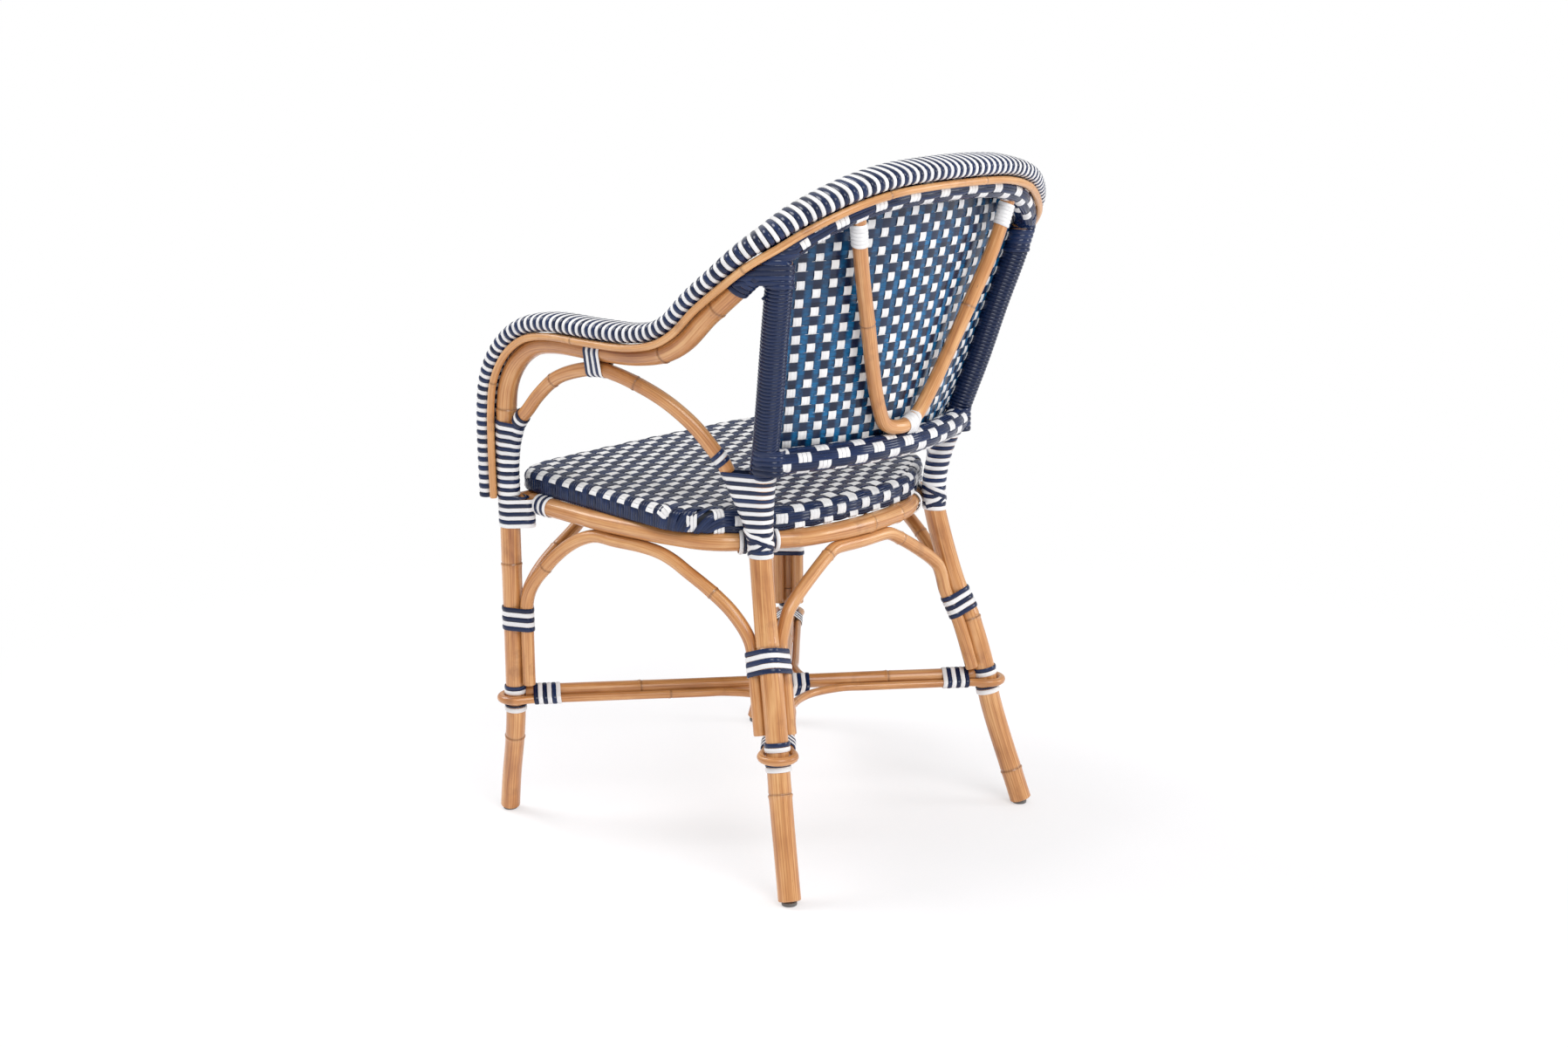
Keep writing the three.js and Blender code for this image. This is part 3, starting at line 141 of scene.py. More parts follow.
# A piece under way: swept bodies with a map in metres (round, along), a tone and a mark for the materials
class Piece:
    def __init__(self, name):
        self.name = name
        self.points, self.faces, self.maps, self.tones, self.marks, self.skins = [], [], [], [], [], []
        self.count = 0

    def sweep(self, rings, tone=0.5, skin=0, closed=False, marks=None):
        steps, sides = rings.shape[:2]
        following = np.roll(rings, -1, axis=1)
        girth = np.concatenate([[0], np.cumsum(np.linalg.norm(following - rings, axis=2).mean(axis=0))]) * mm
        middles = rings.mean(axis=1)
        if closed:
            middles = np.vstack([middles, middles[:1]])
        run = lengthsOf(middles) * mm
        i, j = np.meshgrid(np.arange(steps if closed else steps - 1), np.arange(sides), indexing="ij")
        i, j = i.ravel(), j.ravel()
        nextI, nextJ = (i + 1) % steps, (j + 1) % sides
        corners = [i * sides + j, i * sides + nextJ, nextI * sides + nextJ, nextI * sides + j]
        quads = np.stack(corners, axis=1) + self.count
        u = np.stack([girth[j], girth[j + 1], girth[j + 1], girth[j]], axis=1)
        v = np.stack([run[i], run[i], run[i + 1], run[i + 1]], axis=1)
        self.points.append(rings.reshape(-1, 3))
        self.faces += quads.tolist()
        self.maps.append(np.stack([u, v], axis=2).reshape(-1, 2))
        faceCount = len(quads)
        if not closed:
            ends = [list(range(sides))[::-1], [(steps - 1) * sides + k for k in range(sides)]]
            for end, place in zip(ends, (run[0], run[-1])):
                self.faces.append([self.count + k for k in end])
                self.maps.append(np.array([[girth[k % sides], place] for k in end]))
            faceCount += 2
        self.tones.append(np.full(steps * sides, tone))
        self.marks.append(np.zeros(steps * sides) if marks is None else np.repeat(marks, sides))
        self.skins.append(np.full(faceCount, skin))
        self.count += steps * sides

    def finish(self, materials, slot, nodes=()):
        mesh = bpy.data.meshes.new(self.name)
        mesh.from_pydata((np.vstack(self.points) * mm).tolist(), [], self.faces)
        layer = mesh.uv_layers.new(name="alongPiece")
        layer.data.foreach_set("uv", np.vstack(self.maps).astype(np.float32).ravel())
        for label, rows in (("tone", self.tones), ("mark", self.marks)):
            mesh.attributes.new(label, "FLOAT", "POINT").data.foreach_set("value", np.concatenate(rows))
        mesh.polygons.foreach_set("material_index", np.concatenate(self.skins).astype(np.int32))
        for material in materials:
            mesh.materials.append(material)
        piece = bpy.data.objects.new(self.name, mesh)
        bpy.context.collection.objects.link(piece)
        return settle(piece, nodes)


def only(piece):
    bpy.ops.object.select_all(action="DESELECT")
    piece.select_set(True)
    bpy.context.view_layer.objects.active = piece


def settle(piece, nodes=()):
    only(piece)
    bpy.ops.object.shade_smooth_by_angle(angle=math.radians(40.0))
    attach(piece, "root")
    if nodes:
        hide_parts(*nodes)
    return piece


# A round pole along a line, a little uneven, with rings where it once grew leaves
cane = {"step": 5.0, "endStep": 1.2, "endSize": 0.9, "uneven": 0.02, "lobes": (0.012, 0.008)}
knotShape = {
    "samples": (-5, -3, -1.8, -0.9, 0, 0.9, 1.8, 3, 5),
    "ring": (0.055, 1.6), "swelling": (0.03, 7), "groove": (0.045, 1.2), "groovePlace": 2.6, "stain": (1.8, 1.3),
}


def addPole(piece, line, radius, knots, tone, sides):
    total = lengthsOf(line)[-1]
    inner = np.linspace(cane["endStep"], total - cane["endStep"], max(3, int(total / cane["step"])))
    places = set(inner.tolist() + [0.0, total])
    for knot in knots:
        places |= {knot + d for d in knotShape["samples"] if 2 < knot + d < total - 2}
    places = np.array(sorted(places))
    centres = pointsAt(line, places)
    ways, sideways = carriedSides(centres)
    upways = np.cross(ways, sideways)
    phase = draw.uniform(0, 6)
    size = 1 + cane["uneven"] * np.sin(places / 47 + phase) * np.cos(places / 83 + 2 * phase)
    marks = np.zeros(len(places))
    ring, swelling, groove, stain = (knotShape[k] for k in ("ring", "swelling", "groove", "stain"))
    for knot in knots:
        apart = places - knot
        size += ring[0] * np.exp(-(apart / ring[1]) ** 2) + swelling[0] * np.exp(-(apart / swelling[1]) ** 2)
        size -= groove[0] * np.exp(-((apart - knotShape["groovePlace"]) / groove[1]) ** 2)
        marks = np.maximum(marks, np.exp(-((apart - stain[0]) / stain[1]) ** 2))
    size[[0, -1]] *= cane["endSize"]
    angles = np.linspace(0, fullTurn, sides, endpoint=False)
    second, third = cane["lobes"]
    lobes = 1 + second * np.sin(2 * angles + phase) + third * np.sin(3 * angles + 2 * phase)
    spokes = np.cos(angles)[None, :, None] * sideways[:, None] + np.sin(angles)[None, :, None] * upways[:, None]
    piece.sweep(centres[:, None] + spokes * (radius * size)[:, None, None] * lobes[None, :, None], tone, marks=marks)


# A flat strip with a domed top along a line that lies on the surface, with the surface's outward sides
stripShape = np.array([(0, -0.5), (0.5, -0.5), (0.88, -0.32), (1, 0), (0.88, 0.32), (0.5, 0.5), (0, 0.5)])


def addStrip(piece, centres, outwards, width, thickness, tone, skin=0, closed=False, marks=None):
    ways = tangentsOf(centres, closed)
    across = unit(np.cross(ways, outwards))
    raised = np.cross(across, ways)
    wide = np.broadcast_to(np.asarray(width, float), (len(centres),))[:, None, None]
    rises = stripShape[None, :, :1] * thickness - thickness / 2
    shifts = stripShape[None, :, 1:] * wide
    piece.sweep(centres[:, None] + raised[:, None] * rises + across[:, None] * shifts, tone, skin, closed, marks)


def shade():
    return draw.uniform(0.2, 0.8)


# Materials
def tint(red, green, blue):
    def level(value):
        value /= 255
        return value / 12.92 if value <= 0.04045 else ((value + 0.055) / 1.055) ** 2.4
    return (level(red), level(green), level(blue), 1.0)


class Finish:
    def __init__(self, name):
        self.material = bpy.data.materials.new(name)
        self.material.use_nodes = True
        self.tree = self.material.node_tree
        self.shader = self.tree.nodes["Principled BSDF"]

    def node(self, kind, **settings):
        node = self.tree.nodes.new(kind)
        for name, value in settings.items():
            setattr(node, name, value)
        return node

    def link(self, source, target):
        self.tree.links.new(source, target)

    def fill(self, node, values):
        for label, value in values.items():
            node.inputs[label].default_value = value

    def feed(self, sockets, values):
        for socket, value in zip(sockets, values):
            if isinstance(value, (int, float, tuple)):
                socket.default_value = value
            else:
                self.link(value, socket)

    def maths(self, operation, first, second=0.0, clamp=False):
        node = self.node("ShaderNodeMath", operation=operation, use_clamp=clamp)
        self.feed(node.inputs, (first, second))
        return node.outputs[0]

    def weighted(self, *parts):
        total = None
        for source, weight in parts:
            part = self.maths("MULTIPLY", source, weight)
            total = part if total is None else self.maths("ADD", total, part)
        return total

    def mapped(self, around, along):
        place = self.node("ShaderNodeUVMap", uv_map="alongPiece")
        mapping = self.node("ShaderNodeMapping")
        self.fill(mapping, {"Scale": (around, along, 1.0)})
        self.link(place.outputs["UV"], mapping.inputs["Vector"])
        return mapping.outputs["Vector"]

    def noise(self, vector, scale, detail, roughness=0.55, distortion=0.0):
        node = self.node("ShaderNodeTexNoise")
        self.fill(node, {"Scale": scale, "Detail": detail, "Roughness": roughness, "Distortion": distortion})
        self.link(vector, node.inputs["Vector"])
        return node.outputs["Fac"]

    def streaks(self, around, along, detail, roughness=0.55, distortion=0.0):
        return self.noise(self.mapped(around, along), 1.0, detail, roughness, distortion)

    def clouds(self, scale, detail):
        return self.noise(self.node("ShaderNodeTexCoord").outputs["Object"], scale, detail)

    def attribute(self, name):
        return self.node("ShaderNodeAttribute", attribute_name=name).outputs["Fac"]

    def ramp(self, factor, stops):
        node = self.node("ShaderNodeValToRGB")
        elements = node.color_ramp.elements
        while len(elements) < len(stops):
            elements.new(0.5)
        for element, (place, colour) in zip(elements, stops):
            element.position = place
            element.color = colour
        self.link(factor, node.inputs["Fac"])
        return node.outputs["Color"]

    def mask(self, factor, low, high, least=0.0):
        return self.ramp(factor, [(low, (least, least, least, 1)), (high, (1, 1, 1, 1))])

    def mix(self, factor, first, second, blend="MIX"):
        node = self.node("ShaderNodeMix", data_type="RGBA", blend_type=blend)
        self.feed((node.inputs[0], node.inputs[6], node.inputs[7]), (factor, first, second))
        return node.outputs[2]

    def finish(self, colour, roughness, height, strength, depth):
        self.link(colour, self.shader.inputs["Base Color"])
        self.link(roughness, self.shader.inputs["Roughness"])
        bump = self.node("ShaderNodeBump")
        self.fill(bump, {"Strength": strength, "Distance": depth})
        self.link(height, bump.inputs["Height"])
        self.link(bump.outputs["Normal"], self.shader.inputs["Normal"])
        return self.material


def rattanFinish(name, dark, middle, light, coat):
    f = Finish(name)
    grain = f.streaks(620.0, 9.0, 4.0)
    fibre = f.streaks(2600.0, 60.0, 2.0)
    band = f.streaks(160.0, 3.0, 2.0)
    cloud = f.streaks(30.0, 9.0, 3.0, 0.6, 0.4)
    ownTone = f.maths("SUBTRACT", f.attribute("tone"), 0.5)
    body = f.weighted((grain, 0.4), (cloud, 0.32), (band, 0.28), (ownTone, 0.22))
    colour = f.ramp(body, [(0.36, dark), (0.5, middle), (0.63, light)])
    colour = f.mix(f.maths("MULTIPLY", fibre, 0.16), colour, dark, "MULTIPLY")
    stains = f.mask(f.clouds(26.0, 4.0), 0.6, 0.74)
    specks = f.mask(f.streaks(420.0, 70.0, 2.0, 0.5), 0.72, 0.77)
    for mask, share, ink in (
        (stains, 0.5, tint(132, 78, 42)), (specks, 0.6, tint(92, 56, 32)),
        (f.attribute("mark"), 0.62, tint(96, 60, 34)),
    ):
        colour = f.mix(f.maths("MULTIPLY", mask, share), colour, ink)
    roughness = f.maths("ADD", f.maths("MULTIPLY", grain, 0.22), 0.28)
    f.fill(f.shader, {"Coat Weight": coat, "Coat Roughness": 0.14})
    return f.finish(colour, roughness, f.maths("ADD", grain, f.maths("MULTIPLY", fibre, 0.5)), 0.35, 0.0003)


# backLit: the colour of light that comes through, on the stretches of a strip that carry a mark
def stripFinish(name, low, high, edge, gloss, backLit=None):
    f = Finish(name)
    streak = f.streaks(1500.0, 20.0, 3.0, 0.6)
    cloud = f.clouds(60.0, 2.0)
    colour = f.ramp(f.weighted((streak, 0.4), (f.attribute("tone"), 0.6)), [(0.25, low), (0.75, high)])
    colour = f.mix(f.maths("MULTIPLY", cloud, 0.3), colour, edge)
    if backLit:
        patch = f.mask(f.streaks(120.0, 70.0, 3.0, 0.6), 0.32, 0.5, 0.15)
        line = f.mask(streak, 0.3, 0.46, 0.2)
        wide = f.maths("ADD", f.maths("MULTIPLY", f.clouds(7.0, 1.0), 2.4), -0.4, True)
        bright = f.maths("MULTIPLY", f.maths("MULTIPLY", line, patch), wide)
        colour = f.mix(f.maths("MULTIPLY", f.attribute("mark"), bright), colour, backLit)
    ribs = f.node("ShaderNodeTexWave", wave_type="BANDS", bands_direction="X", wave_profile="SIN")
    f.fill(ribs, {"Scale": 1.0, "Distortion": 0.6, "Detail": 1.0})
    f.link(f.mapped(260.0, 4.0), ribs.inputs["Vector"])
    height = f.weighted((ribs.outputs["Fac"], 0.5), (streak, 0.5))
    roughness = f.maths("ADD", f.maths("MULTIPLY", streak, 0.14), gloss)
    f.fill(f.shader, {"Specular IOR Level": 0.38})
    return f.finish(colour, roughness, height, 0.28, 0.0002)


rattan = rattanFinish("rattanPole", tint(150, 88, 42), tint(199, 138, 80), tint(230, 180, 122), 0.5)
paleRattan = rattanFinish("paleRattanRod", tint(176, 118, 66), tint(214, 158, 100), tint(236, 192, 138), 0.4)
# A darker copy of the rattan with painted shade, for the seat's inner frame under the seat
shadedRattan = rattanFinish("paintedShadeRattan", tint(120, 78, 46), tint(160, 112, 68), tint(188, 138, 90), 0.15)
navy = stripFinish("navyStrip", tint(8, 21, 50), tint(28, 49, 92), tint(5, 14, 36), 0.12)
white = stripFinish("whiteStrip", tint(222, 221, 221), tint(244, 244, 244), tint(208, 207, 207), 0.2)
panelNavy = stripFinish("panelNavyStrip", tint(8, 20, 44), tint(28, 45, 76), tint(5, 14, 32), 0.16, tint(0, 108, 162))
lining = stripFinish("innerLining", tint(12, 17, 30), tint(22, 29, 48), tint(10, 13, 22), 0.5)
glideGrey = stripFinish("glideGrey", tint(110, 108, 106), tint(140, 138, 136), tint(96, 94, 92), 0.45)
stripes = (navy, white)
panelStripes = (panelNavy, white)
navySkin, whiteSkin, liningSkin = 0, 1, 2
print("materials made")


# Ridge: front leg, arm and back hoop are one line. Rows: x, y, z, and the turn of its outer side.
ridgeRows = [
    (243, -277, 0, 0), (249.7, -263.8, 50.4, 0), (260.5, -242.7, 108, 0), (265.3, -233.3, 144, 0),
    (267, -230, 180, 0), (267, -230, 283, 0), (267, -230, 418, 0), (267, -230, 559, 0),
    (267, -222.8, 595.4, 0), (267, -202.2, 626.2, 0), (267, -171.4, 646.8, 0), (267, -135, 654, 0),
    (267, -56, 654, 0), (267, 10.7, 655.6, 0), (267, 61.4, 665.8, 0), (266.5, 93.4, 682.6, 0.02),
    (264.9, 128.2, 714.1, 0.06), (260.3, 164.2, 744, 0.17), (251, 189.6, 769, 0.36),
    (231, 212.3, 790.9, 0.56), (206.9, 227.8, 809.6, 0.69), (156.2, 251, 834.1, 0.81),
    (104.9, 261.9, 846.1, 0.89), (49.9, 266.5, 850.2, 0.95), (0, 267, 851, 1),
]
backLean = math.radians(12)
ridgeHalf = smoothLine(ridgeRows, 4.0)
ridge = bothSides(ridgeHalf[:, :3])
ridgeAngle = ridgeHalf[:, 3] * math.pi / 2
ridgeLean = backLean * ridgeHalf[:, 3]
ridgeOut = bothSides(np.column_stack([
    np.cos(ridgeAngle), np.sin(ridgeAngle) * np.cos(ridgeLean), -np.sin(ridgeAngle) * np.sin(ridgeLean),
]))
ridgeWays = tangentsOf(ridge)
ridgeOut = unit(ridgeOut - ridgeWays * np.sum(ridgeOut * ridgeWays, axis=1, keepdims=True))
ridgeUp = np.cross(ridgeOut, ridgeWays)
ridgeRun = lengthsOf(ridge)
ridgeLength = ridgeRun[-1]
halfCount = len(ridgeHalf)
backPostTop = (231.0, 212.3, 790.9)
aboveFoot = slice(40, halfCount)
hoopStart = float(np.interp(backPostTop[1], ridge[aboveFoot, 1], ridgeRun[aboveFoot]))
leftLeg = cutLine(ridge[:halfCount], 0, 700)

# The other bent poles, left side or left half
backPole = smoothLine([
    (234, 226, 5.3), (210.9, 188.4, 143.8), (205.4, 179.4, 195.2), (194.7, 161.9, 261.7), (184.3, 144.9, 306.8),
    (170.3, 122.1, 401.3), (169, 120, 418), (170.9, 122.8, 465), (188.8, 149.5, 559), (199.2, 164.9, 611.2),
    (212.4, 184.6, 685.8), (223.8, 201.7, 745), (230, 210.8, 782),
])
sideBrace = smoothLine([
    (262.7, -207.5, 194), (262.6, -207.9, 266), (262.6, -207.9, 300), (261.5, -203.1, 320.5),
    (259, -192.3, 338.9), (256.1, -179.4, 353.6), (252.8, -164.8, 369.7), (247.9, -143.2, 388.6),
    (243.1, -122.3, 401.1), (238.1, -100, 408.1), (234, -69, 406.6), (227.3, -32.2, 405), (221, -5.4, 400.6),
    (216.4, 14.3, 393.2), (211, 37.3, 379.5), (205.6, 60.4, 365.6), (201.2, 78.8, 353), (197.8, 93.4, 341.5),
    (195, 105.3, 329.4), (192.5, 115.9, 315.7), (190.7, 123.7, 300), (198.2, 136.8, 266), (209.1, 155.9, 194),
])
frontBrace = smoothLine(bothSides([
    (244.7, -229.6, 194), (245.2, -230, 283.5), (244.4, -230, 300.7), (240.4, -230, 312.1),
    (229.4, -230, 328.2), (209.1, -230, 347.3), (158.7, -230, 379.5), (114.2, -230, 409.1),
    (105.3, -230, 413), (88, -230, 414.6), (0, -230, 414),
]))
backBrace = smoothLine(bothSides([
    (181.6, 179.6, 194), (170.6, 161.7, 261.9), (162.9, 148.4, 295.6), (160.5, 146.7, 303.8),
    (153.5, 146.5, 324.7), (147.3, 146, 337), (135.2, 145.1, 348.3), (91.7, 141.8, 377), (56.6, 139, 395.9),
    (48.4, 138.6, 397.7), (0, 138.7, 397.2),
]))
armArch = smoothLine([
    (267, -218, 522), (267, -211.5, 538), (267, -202, 551), (267, -188, 564), (267, -166.7, 585.9),
    (267, -127.3, 613.7), (267, -56, 631.7), (265.5, -35.4, 629.2), (261.8, -16.4, 624.3), (252, 12.1, 612.1),
    (242.3, 33.5, 599), (232.5, 49.4, 584.7), (223.6, 63.2, 569.5), (216.1, 73.9, 554.3),
    (208.9, 83.5, 538.4), (202.4, 91.4, 524.5), (198.6, 95.6, 513),
])
seatRail = smoothLine(bothSides([
    (240, -217.7, 434.2), (240, -172.5, 432.1), (239, -140.3, 430.7), (238.1, -101.2, 428.9),
    (234, -68.1, 427.4), (228, -34, 425.9), (217.9, 11.1, 423.8), (205, 52.8, 421.9), (187.9, 76, 420.9),
    (169.9, 88, 420.3), (149.9, 95.9, 420), (132, 109.1, 419.4), (98.9, 127, 418.5), (51.6, 135.9, 418.1),
    (0, 139, 418),
]))
frontRail = smoothLine(bothSides([(254, -230, 434.6), (0, -230, 434.6)]))
crossBar = smoothLine(bothSides([(222, -46, 426.4), (0, -46, 426.4)]))
lowerRail = smoothLine(bothSides([
    (182.8, 148.6, 530), (137.1, 167.8, 530), (91.4, 181.6, 530), (45.7, 189.8, 530), (0, 192.6, 530),
]))
backV = smoothLine(bothSides([
    (145.5, 253.7, 837.2), (128.5, 244.5, 774.6), (94.4, 227.1, 689.9), (72.9, 215.9, 638.9),
    (57.3, 208.4, 604.9), (42.3, 202.8, 577.9), (30.6, 199.7, 562.4), (14.6, 199.7, 555.3), (0, 201.3, 553.9),
]))


# Poles: radii, and rows of name, line, radius, nodes, knot places, tone and count of sides
radii = {
    "arm": 13.0, "back": 14.5, "brace": 8.5, "arch": 9.0, "rail": 12.0, "rod": 5.3, "bar": 9.5, "crossBar": 9.0,
    "lowerRail": 14.0, "v": 9.0, "trim": 4.8,
}
trim = {"out": 17.2, "up": 10.6, "low": 441.9}
footCut = 5.5


def addPolePiece(name, line, radius, nodes, knots=(), tone=0.5, sides=18, material=rattan, slot="rattan"):
    piece = Piece(name)
    addPole(piece, line, radius, knots, tone, sides)
    piece.finish([material], slot, nodes)


ridgeKnots = (118, 358, 562, 905, 1010, ridgeLength - 230, ridgeLength - 520)
postKnots = {"left": (128, 306), "right": (44, 186, 262)}
poleRows = [(
    "ridgePole", pointsAt(ridge, np.arange(footCut, ridgeLength - footCut, 4.0)), radii["arm"],
    ("front_post_left", "front_post_right", "back_hoop"), ridgeKnots, 0.5, 22,
)]
for side in ("left", "right"):
    label = side.capitalize()
    poleRows += [
        (f"backPost{label}", onSide(backPole, side), radii["back"], (f"back_post_{side}",), postKnots[side], 0.6, 22),
        (f"sideBrace{label}", onSide(sideBrace, side), radii["brace"], (f"arch_brace_{side}",), (172, 455), 0.58),
        (f"armArch{label}", onSide(armArch, side), radii["arch"], (f"arm_arch_{side}",), (118, 262), 0.55),
    ]
poleRows += [
    ("frontBrace", frontBrace, radii["brace"], ("arch_brace_front",), (190, 420), 0.45),
    ("backBrace", backBrace, radii["brace"], ("arch_brace_back",), (250, 395), 0.6),
    ("seatRail", seatRail, radii["rail"], ("seat_rail_hoop",), (520, 580, 800), 0.62),
    ("frontRail", frontRail, radii["rail"], ("seat_rail_front",), (180,), 0.4),
    ("crossBar", crossBar, radii["crossBar"], ("seat_cross_bar",), (150,), 0.4),
    ("lowerRail", lowerRail, radii["lowerRail"], ("back_lower_rail",)),
    ("backV", backV, radii["v"], ("back_brace_v",), (150, 520), 0.55),
]
for row in poleRows:
    addPolePiece(*row)
trimLine = (ridge + ridgeOut * trim["out"] + ridgeUp * trim["up"])[ridge[:, 2] > trim["low"]]
trimKnots = (150, 330, 640, 840, 1010, 1130)
addPolePiece("trimRod", trimLine, radii["trim"], ("trim_rod",), trimKnots, 0.5, 14, paleRattan, "pale_rattan")
print("poles made")


# Stretchers: three poles that cross, and four thin rods that loop round the legs
stretchers = {
    "height": 180.0, "rodDrop": 6.5, "rodSide": 14.7, "turnStart": 78.0, "turnRun": 34.0, "reach": 112.0,
    "crossingY": 2.1, "loopRoom": 0.8, "tieRoom": 28.5, "spread": 0.3, "longEnds": (13.2, 14.8), "halfStart": 12,
}
crossing = np.array((0.0, stretchers["crossingY"], stretchers["height"]))
rodDrop = np.array((0.0, 0.0, stretchers["rodDrop"]))


def stretcherLeg(x, y, lowX, lowY, radius):
    at = np.array((x, y, stretchers["height"]))
    way = at - crossing
    length = float(np.linalg.norm(way))
    way = way / length
    return {
        "at": at, "low": np.array((lowX, lowY, stretchers["height"])) - rodDrop, "way": way, "length": length,
        "loop": radius + stretchers["loopRoom"] + radii["rod"], "side": np.array((-way[1], way[0], 0)),
        "tie": length - radius - stretchers["tieRoom"], "radius": radius,
    }


legs = {
    "left_front": stretcherLeg(267, -230, 266.84, -230.3, radii["arm"]),
    "left_back": stretcherLeg(207.14, 182.2, 207.75, 183.2, radii["back"]),
    "right_back": stretcherLeg(-207.14, 182.2, -207.75, 183.2, radii["back"]),
    "right_front": stretcherLeg(-267, -230, -266.84, -230.3, radii["arm"]),
}


def besideStretcher(leg, distance, aside):
    return crossing + leg["way"] * distance + leg["side"] * aside - rodDrop


def rodLine(leg, following):
    start, run, aside = stretchers["turnStart"], stretchers["turnRun"], stretchers["rodSide"]
    loopFoot, spread = following["length"] - following["loop"], stretchers["spread"]
    corner = leg["way"] + following["way"]
    corner = corner / np.linalg.norm(corner)
    rows = [
        besideStretcher(leg, leg["tie"], aside), besideStretcher(leg, start + run, aside),
        besideStretcher(leg, start, aside), crossing + corner * (run + aside) - rodDrop,
        besideStretcher(following, start, -aside), besideStretcher(following, start + run, -aside),
        besideStretcher(following, following["tie"], -aside), besideStretcher(following, loopFoot, -aside - spread),
    ]
    for share in np.linspace(-1, 1, 9):
        angle = math.radians(stretchers["reach"]) * share
        across = following["side"] * following["loop"] * math.sin(angle)
        rows.append(following["low"] + following["way"] * following["loop"] * math.cos(angle) + across)
    rows.append(besideStretcher(following, loopFoot, aside + spread))
    rows.append(besideStretcher(following, following["tie"], aside))
    return smoothLine(rows)


legNames = list(legs)
for name, following in zip(legNames, legNames[1:] + legNames[:1]):
    line = rodLine(legs[name], legs[following])
    addPolePiece(f"rod_{following}", line, radii["rod"], (f"stretcher_rod_{following}",), (160,), sides=14)
longFrom, longTo = (
    legs[name]["at"] - legs[name]["way"] * end
    for name, end in zip(("left_front", "right_back"), stretchers["longEnds"])
)
longPole = smoothLine([longFrom, crossing, longTo])
addPolePiece("stretcherLong", longPole, radii["bar"], ("stretcher_long",), (150, 480))
for name, node, knots in (
    ("left_back", "stretcher_half_back", (120,)), ("right_front", "stretcher_half_front", (180,)),
):
    leg = legs[name]
    line = smoothLine([
        crossing + leg["way"] * stretchers["halfStart"], crossing + leg["way"] * 120,
        leg["at"] - leg["way"] * (leg["radius"] + 0.3),
    ])
    addPolePiece(node.replace("_", ""), line, radii["bar"], (node,), knots)
print("stretchers made")


# What a winding lies on: the outline round all the poles of a bundle, plane by plane along an axis
class Bundle:
    farthest = 60.0
    absent = -1e3

    def __init__(self, axis, members, first=(0.0, 0.0, 1.0)):
        self.run = lengthsOf(axis)
        self.centres = axis
        self.ways, self.sides = carriedSides(axis, first)
        self.ups = np.cross(self.ways, self.sides)
        self.radii = np.array([radius for _, radius in members], float)
        self.offsets = np.zeros((len(axis), len(members), 2))
        self.held = np.zeros((len(axis), len(members)))
        for m, (line, _) in enumerate(members):
            for i, centre in enumerate(axis):
                heights = (line - centre) @ self.ways[i]
                best = self.farthest
                for hit in np.nonzero(heights[:-1] * heights[1:] <= 0)[0]:
                    low, high = heights[hit], heights[hit + 1]
                    share = low / (low - high) if low != high else 0.0
                    spot = line[hit] + (line[hit + 1] - line[hit]) * share - centre
                    if np.linalg.norm(spot) < best:
                        best = np.linalg.norm(spot)
                        self.offsets[i, m] = (spot @ self.sides[i], spot @ self.ups[i])
                        self.held[i, m] = 1.0

    def runAt(self, height):
        return float(np.interp(height, self.centres[:, 2], self.run))

    def at(self, places, angles, lift):
        index = np.interp(places, self.run, np.arange(len(self.run)))
        low = np.clip(np.floor(index).astype(int), 0, len(self.run) - 2)
        part = (index - low)[:, None]

        def between(rows):
            flat = rows.reshape(len(rows), -1)
            return (flat[low] * (1 - part) + flat[low + 1] * part).reshape((len(places),) + rows.shape[1:])

        beyond = (places - np.clip(places, self.run[0], self.run[-1]))[:, None]
        centre = between(self.centres) + between(self.ways) * beyond
        side, up = between(self.sides), between(self.ups)
        offsets, held = between(self.offsets), between(self.held)
        facing = np.column_stack([np.cos(angles), np.sin(angles)])
        reach = np.einsum("nmk,nk->nm", offsets, facing) + self.radii[None, :]
        reach = np.where(held > 0.5, reach, self.absent)
        chosen = np.argmax(reach, axis=1)
        rows = np.arange(len(places))
        spot = offsets[rows, chosen] + facing * (self.radii[chosen] + lift)[:, None]
        outward = side * facing[:, :1] + up * facing[:, 1:]
        return centre + side * spot[:, :1] + up * spot[:, 1:], outward


def addWound(piece, bundle, places, angles, width, skin, lift=1.1, thickness=1.3, closed=False):
    low, _ = bundle.at(places - width / 2, angles, lift)
    high, outward = bundle.at(places + width / 2, angles, lift)
    middle = (low + high) / 2
    raised = np.cross(high - low, tangentsOf(middle, closed))
    raised *= np.sign(np.sum(raised * outward, axis=1, keepdims=True))
    addStrip(piece, middle, unit(raised), width, thickness, shade(), skin, closed)


def addRing(piece, bundle, place, width, skin, lift=1.1, thickness=1.3, slant=0.0, facing=0.0):
    angles = np.linspace(0, fullTurn, 36, endpoint=False)
    addWound(piece, bundle, place + slant * np.cos(angles - facing), angles, width, skin, lift, thickness, True)


# Rings side by side from a start on, in turn navy and white; with skinStep 0 all in one colour
def addRings(piece, bundle, start, pitch, count, width, first=navySkin, skinStep=1, **shape):
    for k in range(count):
        addRing(piece, bundle, start + pitch * k, width, (first + skinStep * k) % 2, **shape)


def addHelix(piece, bundle, start, end, pitch, width, lift, thickness):
    turns = (end - start) / pitch
    angles = np.linspace(0, fullTurn * turns, int(22 * turns) + 1)
    addWound(piece, bundle, start + pitch * angles / fullTurn, angles, width, navySkin, lift, thickness)


def wind(name, node, bundle, **shape):
    piece = Piece(name)
    addRings(piece, bundle, **shape)
    piece.finish(stripes, "white_strip", (node,))


